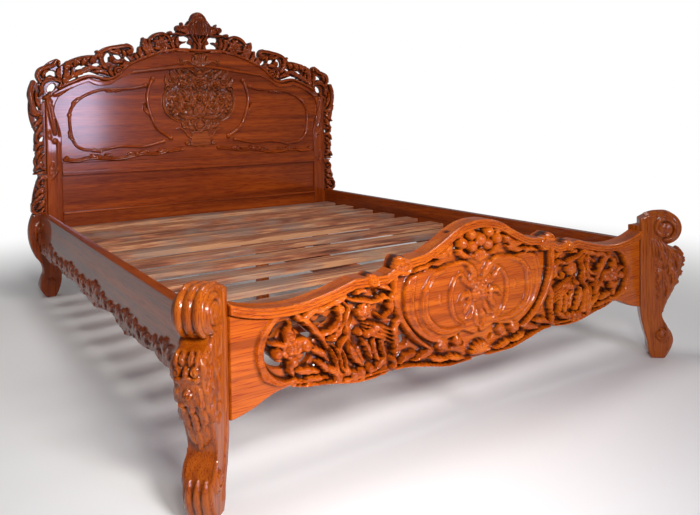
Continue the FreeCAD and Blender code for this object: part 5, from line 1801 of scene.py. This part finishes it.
    def posts(self) -> None:
        """Builds the two posts with their shaped legs."""
        outer = node_loops("headboard_post_right", self.post_back)[0]
        carving = Field((0, 0), (0, 0), 2.2, 0.0, rim=4.0, loops=[outer]).carve(self.stile_marks())
        for side, node in ((1, "headboard_post_right"), (-1, "headboard_post_left")):
            piece = relief(node + "_board", carving, facing_foot(self.face, side),
                           self.post_back - self.face)
            piece.data.materials.append(self.finishes.head_up)
            settle(piece, "frame_wood", node)

    def build(self) -> None:
        """Builds the headboard."""
        self.posts()
        self.crest()
        self.arch()
        middle = [
            Rose((0, 1032), 46, 24, 6, 3), Rose((0, 952), 33, 23, 6, 2),
            Bead((0, 972), 16, 17), Bead((0, 1086), 15, 18), Bead((0, 772), 14, 14),
        ]
        self.applied(
            "flower_basket_carving", mirrored(self.basket_marks()) + middle, ((-201, 690), (201, 1145)),
            self.panel_face, ("flower_basket",), self.finishes.applied, 1.5,
        )
        middle = [Shell((0, 1122), 66, 15, 90, 34, 5), Bead((0, 1124), 11, 14)]
        self.applied(
            "vase_carving", mirrored(self.vase_marks()) + middle, ((-118, 1110), (118, 1195)), self.face,
            ("crest_vase",), self.finishes.applied,
        )
        names = ("panel_moulding", "c_scroll_moulding", "wavy_moulding")
        self.applied(
            "panel_mouldings", mirrored(self.moulding_marks()), ((-690, 640), (690, 1070)), self.panel_face,
            tuple(name + side for name in names for side in ("_left", "_right")), self.finishes.head_across,
        )


# Front posts


@dataclass
class FrontPost:
    """Diagonal post with a volute, a knee with leaves, and a scroll foot.

    In its own plane t runs outwards along the diagonal and z up. The two cheeks are carved faces, and
    the band between them follows the outline.
    """

    side: int
    finish: bpy.types.Material
    step: float = 1.9
    half: float = 34.0
    edge: float = 5.0
    corner: tuple[float, float] = (779.64, -1036.46)
    wedge: tuple[float, float] = (178.0, 460.0)

    def outline(self) -> np.ndarray:
        """Returns the post's outline, from the foot up the outer edge and down the inner one.

        Returns:
            Points round it.
        """
        outer = [(76, 0), (95, 34), (104, 68), (92, 109), (73, 152), (91, 210), (112, 255), (126, 295),
                 (137, 335), (139, 358), (126, 376), (104, 386), (84, 403)]
        volute = [
            (81 + 50 * math.cos(angle), 453 + 50 * math.sin(angle))
            for angle in np.linspace(math.radians(-86), math.radians(90), 48)
        ]
        top = smooth([(81, 503), (50, 502), (20, 494), (0, 483)])[1:]
        back = smooth([(0, 483), (0, 170)])[1:]
        inner = smooth([(0, 170), (4, 135), (14, 91), (25, 54), (28, 25), (38, 0)])[1:]
        sole = smooth([(38, 0), (76, 0)])[1:-1]
        return np.vstack([smooth(outer), volute, top, back, inner, sole])

    def cheek_marks(self) -> list:
        """Returns the carving of a cheek.

        Returns:
            The marks, in the order in which they are cut.
        """
        return [
            Volute((81, 453), 47, 9, -90, 1.9, 15),
            Bead((81, 453), 22, 12),
            Roll(((54, 497), (26, 486), (22, 440), (22, 300), (24, 200), (30, 140), (40, 90), (46, 30)), 7,
                 4),
            *[Roll(((36 + 8 * k, 412), (44 + 10 * k, 384), (44 + 11 * k, 350)), 9, 5, thin=(0.5, 0.5))
              for k in range(6)],
            Leaf(((66, 378), (80, 350), (78, 312)), 24, 8, 5),
            Leaf(((92, 344), (100, 318), (92, 290)), 18, 8, 4),
            *[Roll(((54, 300 - 26 * k), (62, 292 - 26 * k), (60, 280 - 26 * k)), 8, 6,
                   thin=(0.9, 0.3)) for k in range(4)],
            Rose((62, 330), 14, 8, 5, 2),
            Leaf(((104, 372), (124, 352), (122, 318)), 26, 9, 5),
            Leaf(((96, 320), (112, 292), (104, 262)), 24, 9, 5),
            Leaf(((82, 270), (94, 244), (84, 216)), 22, 9, 5),
            Leaf(((60, 312), (64, 284), (58, 256)), 16, 6, 4),
            Bead((60, 246), 6, 7),
            Volute((68, 84), 24, 8, 90, -1.6, 10),
            Roll(((72, 150), (82, 120), (90, 92), (84, 66), (68, 60)), 9, 6, thin=(0.5, 0.8)),
        ]

    def band_marks(self, places: dict) -> list:
        """Returns the carving of the band: u across the post, v the length along the outline.

        Args:
            places: length along the outline at some heights of the outer edge.

        Returns:
            The marks, in the order in which they are cut.
        """
        foot, ankle, knee, brow, roll = (places[key] for key in ("foot", "ankle", "knee", "brow", "roll"))
        leaves = []
        for row, level in enumerate(np.linspace(ankle + 22, knee - 34, 3)):
            spread = 9 + 4 * row
            for sign in (-1, 1):
                leaves.append(Leaf(((sign * (spread - 4), level + 44), (sign * (spread + 6), level + 22),
                                    (sign * (spread + 1), level - 12)), 23, 7 + row, 3))
            leaves.append(Leaf(((0, level + 30), (0, level + 8), (0, level - 24)), 20, 11 + row, 3))
        return [
            *[Roll(((u, foot - 60), (u, foot), (u, foot + 48)), 18, 8, thin=(0.9, 0.4)) for u in (-18, 0,
                                                                                                  18)],
            Hollow(((0, ankle + 8), (0, knee - 40), (0, brow + 24)), 56, 9),
            *leaves,
            Plateau(((-24, knee - 6), (-14, knee - 24), (14, knee - 24), (24, knee - 6), (22, knee + 18),
                     (0, knee + 28), (-22, knee + 18)), 7),
            *spray((0, knee), 46, 24, 12, [55, 90, 125, 225, 270, 315], 3),
            *spray((0, knee), 34, 18, 11, [0, 180], 3),
            Rose((0, knee), 19, 21, 5, 2),
            *berries([(-22, knee + 30), (22, knee + 30), (-22, knee - 30), (22, knee - 30)], 6, 12),
            *[Volute((u, brow - 8), 11, 12, 90, 1.2, 6) for u in (-20, 0, 20)],
            *[Leaf(((u, brow + 4), (u + 2, brow + 16), (u, brow + 32)), 16, 11, 3) for u in (-22, -8, 8,
                                                                                             22)],
            *[Roll(((u, roll), (u, roll + 100), (u, roll + 215)), 21, 8, thin=(0.8, 0.3)) for u in (-21, 0,
                                                                                                    21)],
        ]

    def build(self) -> None:
        """Builds the post."""
        name = "front_post_right" if self.side > 0 else "front_post_left"
        outline = self.outline()
        cheek = Field((0, 0), (0, 0), self.step, 0.0, rim=self.edge,
                      loops=[outline]).carve(self.cheek_marks())
        steps = np.hypot(*np.diff(outline, axis=0, append=outline[:1]).T)
        travelled = np.concatenate([[0], np.cumsum(steps)])
        total = travelled[-1]
        heights = {"foot": (95, 50), "ankle": (73, 152), "knee": (126, 298), "brow": (138, 352),
                   "roll": (84, 403)}
        places = {
            key: float(travelled[np.argmin(np.hypot(*(outline - np.array(spot)).T))])
            for key, spot in heights.items()
        }
        band = Field((-self.half, -60), (self.half, total + 60), self.step, 0.0, rim=0.01, reach=400.0)
        band.carve(self.band_marks(places))
        bm = self.half_body(cheek, band, outline, travelled)
        bmesh.ops.mirror(bm, geom=bm.verts[:] + bm.edges[:] + bm.faces[:], axis="Y", merge_dist=0.05 * MM)
        out = Vector((self.side, -1, 0)).normalized()
        up = Vector((0, 0, 1))
        turn = Matrix((out, up.cross(out), up)).transposed().to_4x4()
        turn.translation = Vector((self.side * self.corner[0], self.corner[1], 0)) * MM
        bmesh.ops.transform(bm, matrix=turn, verts=bm.verts)
        bmesh.ops.recalc_face_normals(bm, faces=bm.faces)
        piece = finished(name + "_carved", bm)
        piece.data.materials.append(self.finish)
        settle(piece, "carved_wood", name)

    def half_body(
        self, cheek: Field, band: Field, outline: np.ndarray, travelled: np.ndarray
    ) -> bmesh.types.BMesh:
        """Makes one half of the post: a cheek, and the band drawn from its rim to the middle plane.

        Args:
            cheek: the carved cheek.
            band: the carved band.
            outline: the post's outline.
            travelled: length along the outline at each of its points.

        Returns:
            The half, with t along X, the thickness along Y and z along Z.
        """
        bm = trimmed_grid(cheek, Plane((0, self.half, 0), (1, 0, 0), (0, 0, 1), (0, 1, 0)))
        layer = bm.verts.layers.float["recess_shade"]
        # The band's depths below their surroundings go on the vertices as painted shade.
        heights, recess_shade = band.surface()
        tangent = np.roll(outline, -1, axis=0) - np.roll(outline, 1, axis=0)
        normals = np.stack([tangent[:, 1], -tangent[:, 0]], axis=1)
        normals /= np.hypot(*normals.T)[:, None]
        edges = [edge for edge in bm.edges if edge.is_boundary]
        places = {}
        for vert in {vert for edge in edges for vert in edge.verts}:
            t, z = vert.co.x / MM, vert.co.z / MM
            index = int(np.argmin((outline[:, 0] - t) ** 2 + (outline[:, 1] - z) ** 2))
            places[vert] = (t, z, float(travelled[index]), normals[index])
        inner = self.half - self.edge
        count = int(inner / self.step)
        for row in range(count + 1):
            made = bmesh.ops.extrude_edge_only(bm, edges=edges)["geom"]
            edges = [item for item in made if isinstance(item, bmesh.types.BMEdge)]
            across = inner * (1 - row / count)
            column = int(round((across - band.u[0]) / band.step))
            fresh = {}
            for vert in made:
                if not isinstance(vert, bmesh.types.BMVert):
                    continue
                neighbours = (edge.other_vert(vert) for edge in vert.link_edges)
                t, z, length, normal = fresh[vert] = next(places[old] for old in neighbours if old in places)
                line = int(round((length - band.v[0]) / band.step))
                rise = heights[line, column] * min(1, (inner - across) / 4)
                if normal[0] < -0.9 and self.wedge[0] < z < self.wedge[1]:
                    rise = self.half - across
                vert.co = Vector((t + normal[0] * rise, across, max(z + normal[1] * rise, 0))) * MM
                vert[layer] = recess_shade[line, column]
            places = fresh
        return bm


# Side rails and slats


@dataclass
class SideRail:
    """Plain board whose wavy lower edge carries upright leaf clusters."""

    finishes: Finishes
    outer: float = 795.0
    inner: float = 765.0

    def marks(self) -> list:
        """Returns the carving: u runs from the foot of the bed to its head.

        Returns:
            The marks, in the order in which they are cut.
        """
        marks = []
        for index, u in enumerate((-750, -560, -380, -190, 10, 220, 420, 620, 860, 1010)):
            tall = (1.0, 0.75, 0.9, 0.7, 1.0, 0.8, 0.95, 0.75, 1.0, 0.7)[index]
            root = (u, 206)
            marks += spray(root, 92 * tall, 30, 9, [90, 62, 118], 4)
            marks += spray(root, 74 * tall, 26, 8, [35, 145, 12, 168], 4)
            marks += [
                Roll(((u + 20, 216), (u + 55, 226), (u + 92, 218)), 12, 8, Profile.CHANNEL, thin=(0.6, 0.4)),
                Roll(((u - 20, 216), (u - 55, 226), (u - 92, 218)), 12, 8, Profile.CHANNEL, thin=(0.6, 0.4)),
                Bead((u, 214), 10, 11),
            ]
        for u in (-850, -655, -470, -285, -90, 115, 320, 520, 740, 935, 1050):
            marks += spray((u, 224), 56, 24, 8, [90, 48, 132, 14, 166], 3) + [Bead((u, 228), 8, 10)]
        return marks

    def build(self) -> None:
        """Builds both rails."""
        for side, node in ((1, "side_rail_right"), (-1, "side_rail_left")):
            loops = node_loops(node, side * self.inner, (1, 2, 0))
            carving = Field((0, 0), (0, 0), 2.6, 0.0, rim=2.5, loops=loops[:1])
            carving.carve(self.marks())
            plane = Plane((side * self.outer, 0, 0), (0, 1, 0), (0, 0, 1), (side, 0, 0))
            piece = relief(node + "_carved", carving, plane, self.outer - self.inner)
            piece.data.materials.append(self.finishes.along)
            settle(piece, "frame_wood", node)


@dataclass
class PlainWork:
    """Uncarved boards: panels, rails, slats, ledgers and the centre beam."""

    finishes: Finishes

    def build(self) -> None:
        """Rounds the edges of the plain boards and dresses them."""
        across = self.finishes.head_board
        for name in (
            "headboard_bottom_rail", "headboard_middle_rail", "headboard_lower_panel",
            "headboard_upper_panel",
            "bead_moulding", "lower_moulding",
        ):
            settle(softened(name, 1.5, across), "frame_wood", name)
        for name in ("ledger_left", "ledger_right", "centre_beam"):
            settle(softened(name, 1.5, self.finishes.along), "frame_wood", name)
        for name in ("centre_leg_front", "centre_leg_rear", "beam_cleat_foot", "beam_cleat_head"):
            settle(softened(name, 1.5, self.finishes.up), "frame_wood", name)
        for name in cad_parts:
            if name.startswith("slat"):
                settle(softened(name, 2.0, self.finishes.slat), "slat_wood", name)
        for name in ("rail_hook_plates", "rail_catch_plates"):
            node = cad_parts[name]
            node.data.materials.clear()
            node.data.materials.append(self.finishes.steel)


# Scene


@dataclass
class Studio:
    """Floor, light and camera."""

    camera_place: tuple[float, float, float] = (-1.3527, -2.5116, 0.8679)
    yaw: float = 34.9002
    pitch: float = -1.6757
    roll: float = -0.7287
    focal: float = 35.7786
    shift: tuple[float, float] = (-0.0415, -0.1797)
    floor_colour: str = "#F4F2F0"
    floor_near: float = 1.5
    floor_far: float = 3.2

    def floor(self) -> None:
        """Lays a pale floor that looks white to the camera and keeps the shadow."""
        bm = bmesh.new()
        bmesh.ops.create_grid(bm, x_segments=1, y_segments=1, size=30)
        mesh = bpy.data.meshes.new("floor")
        bm.to_mesh(mesh)
        bm.free()
        floor = bpy.data.objects.new("floor", mesh)
        bpy.context.scene.collection.objects.link(floor)
        finish = bpy.data.materials.new("white_studio_floor")
        finish.use_nodes = True
        tree = finish.node_tree
        tree.nodes.clear()
        paint = add_node(
            tree, "ShaderNodeBsdfPrincipled",
            {"Base Color": linear(self.floor_colour), "Roughness": 0.9, "Specular IOR Level": 0.1}, {},
        )
        white = add_node(tree, "ShaderNodeEmission", {"Color": linear("#FFFFFF"), "Strength": 1.0}, {})
        place = add_node(tree, "ShaderNodeTexCoord", {}, {}).outputs["Object"]
        away = add_node(tree, "ShaderNodeVectorMath", {"operation": "LENGTH"}, {0: place}).outputs["Value"]
        far = add_node(
            tree, "ShaderNodeMapRange",
            {"interpolation_type": "SMOOTHSTEP", "From Min": self.floor_near, "From Max": self.floor_far},
            {"Value": away},
        ).outputs["Result"]
        rays = add_node(tree, "ShaderNodeLightPath", {}, {})
        shown = add_node(
            tree, "ShaderNodeMath", {"operation": "MULTIPLY"}, {0: far, 1: rays.outputs["Is Camera Ray"]},
        ).outputs["Value"]
        mixed = add_node(tree, "ShaderNodeMixShader", {},
                         {0: shown, 1: paint.outputs[0], 2: white.outputs[0]})
        add_node(tree, "ShaderNodeOutputMaterial", {}, {"Surface": mixed.outputs[0]})
        mesh.materials.append(finish)

    def world(self) -> None:
        """Lights the room evenly, with a white background for the camera and a dimmer one for reflections.
        """
        world = bpy.data.worlds.new("studio")
        bpy.context.scene.world = world
        world.use_nodes = True
        tree = world.node_tree
        tree.nodes.clear()
        rays = add_node(tree, "ShaderNodeLightPath", {}, {})
        dim = add_node(tree, "ShaderNodeBackground", {"Color": linear("#F2F3F6"), "Strength": 0.2}, {})
        room = add_node(tree, "ShaderNodeBackground", {"Color": linear("#F2F3F6"), "Strength": 0.27}, {})
        white = add_node(tree, "ShaderNodeBackground", {"Color": linear("#FFFFFF"), "Strength": 1.0}, {})
        soft = add_node(
            tree, "ShaderNodeMixShader", {}, {0: rays.outputs["Is Glossy Ray"], 1: room.outputs[0],
                                              2: dim.outputs[0]},
        )
        mixed = add_node(
            tree, "ShaderNodeMixShader", {},
            {0: rays.outputs["Is Camera Ray"], 1: soft.outputs[0], 2: white.outputs[0]},
        )
        add_node(tree, "ShaderNodeOutputWorld", {}, {"Surface": mixed.outputs[0]})

    def lamp(
        self, name: str, place: Vector, target: Vector, power: float, size: tuple[float, float],
        tint: str = "#FFFFFF", spread: float = 180.0,
    ) -> None:
        """Adds a soft rectangular lamp.

        Args:
            name: name of the lamp.
            place: where it hangs.
            target: where it points.
            power: its power in watts.
            size: its width and height in metres.
            tint: colour of its light.
            spread: angle in degrees over which it shines.
        """
        light = bpy.data.lights.new(name, "AREA")
        light.color = linear(tint)[:3]
        light.energy = power
        light.shape = "RECTANGLE"
        light.size, light.size_y = size
        light.spread = math.radians(spread)
        lamp = bpy.data.objects.new(name, light)
        lamp.location = place
        lamp.rotation_euler = (target - place).to_track_quat("-Z", "Y").to_euler()
        bpy.context.scene.collection.objects.link(lamp)

    def camera(self) -> None:
        """Places the camera at the photograph's view."""
        yaw, pitch, roll = (math.radians(angle) for angle in (self.yaw, self.pitch, self.roll))
        ahead = Vector((math.sin(yaw) * math.cos(pitch), math.cos(yaw) * math.cos(pitch), math.sin(pitch)))
        right = ahead.cross(Vector((0, 0, 1))).normalized()
        up = right.cross(ahead)
        turned = right * math.cos(roll) + up * math.sin(roll)
        right, up = turned, up * math.cos(roll) - right * math.sin(roll)
        data = bpy.data.cameras.new("camera")
        data.sensor_width = 36.0
        data.lens = self.focal
        data.shift_x, data.shift_y = self.shift
        camera = bpy.data.objects.new("camera", data)
        turn = Matrix((right, up, -ahead)).transposed().to_4x4()
        camera.matrix_world = Matrix.Translation(self.camera_place) @ turn
        bpy.context.scene.collection.objects.link(camera)
        bpy.context.scene.camera = camera

    def build(self) -> None:
        """Sets the stage."""
        bpy.context.scene.view_settings.view_transform = "Standard"
        self.floor()
        self.world()
        middle = Vector((0, 0, 0.4))
        self.lamp("front_light", Vector((-1.3, -3.6, 2.6)), Vector((-0.2, 1.1, 0.8)), 8.5, (0.5, 0.5),
                  spread=65)
        self.lamp("near_light", Vector((-0.7, -2.3, 1.0)), Vector((-0.5, -1.0, 0.4)), 9.5, (0.3, 0.25),
                  spread=110)
        self.lamp("side_light", Vector((3.4, -0.8, 2.4)), middle, 10, (0.8, 0.8))
        self.lamp("top_light", Vector((-0.2, -0.1, 3.4)), middle, 28, (1.0, 1.0))
        self.lamp(
            "window_light", Vector((0.42, -4.2, 1.0)), Vector((-0.5, 1.1, 0.9)), 7, (0.6, 1.1), "#DAD8FF",
            70,
        )
        self.camera()


def main() -> None:
    """Builds the bed piece by piece, and the studio round it."""
    logging.basicConfig(level=logging.INFO, format="%(message)s")
    finishes = Finishes()
    PlainWork(finishes).build()
    Headboard(finishes).build()
    Footboard(finishes.across).build()
    SideRail(finishes).build()
    for side in (1, -1):
        FrontPost(side, finishes.post).build()
    Studio().build()


if __name__ == "__main__":
    main()
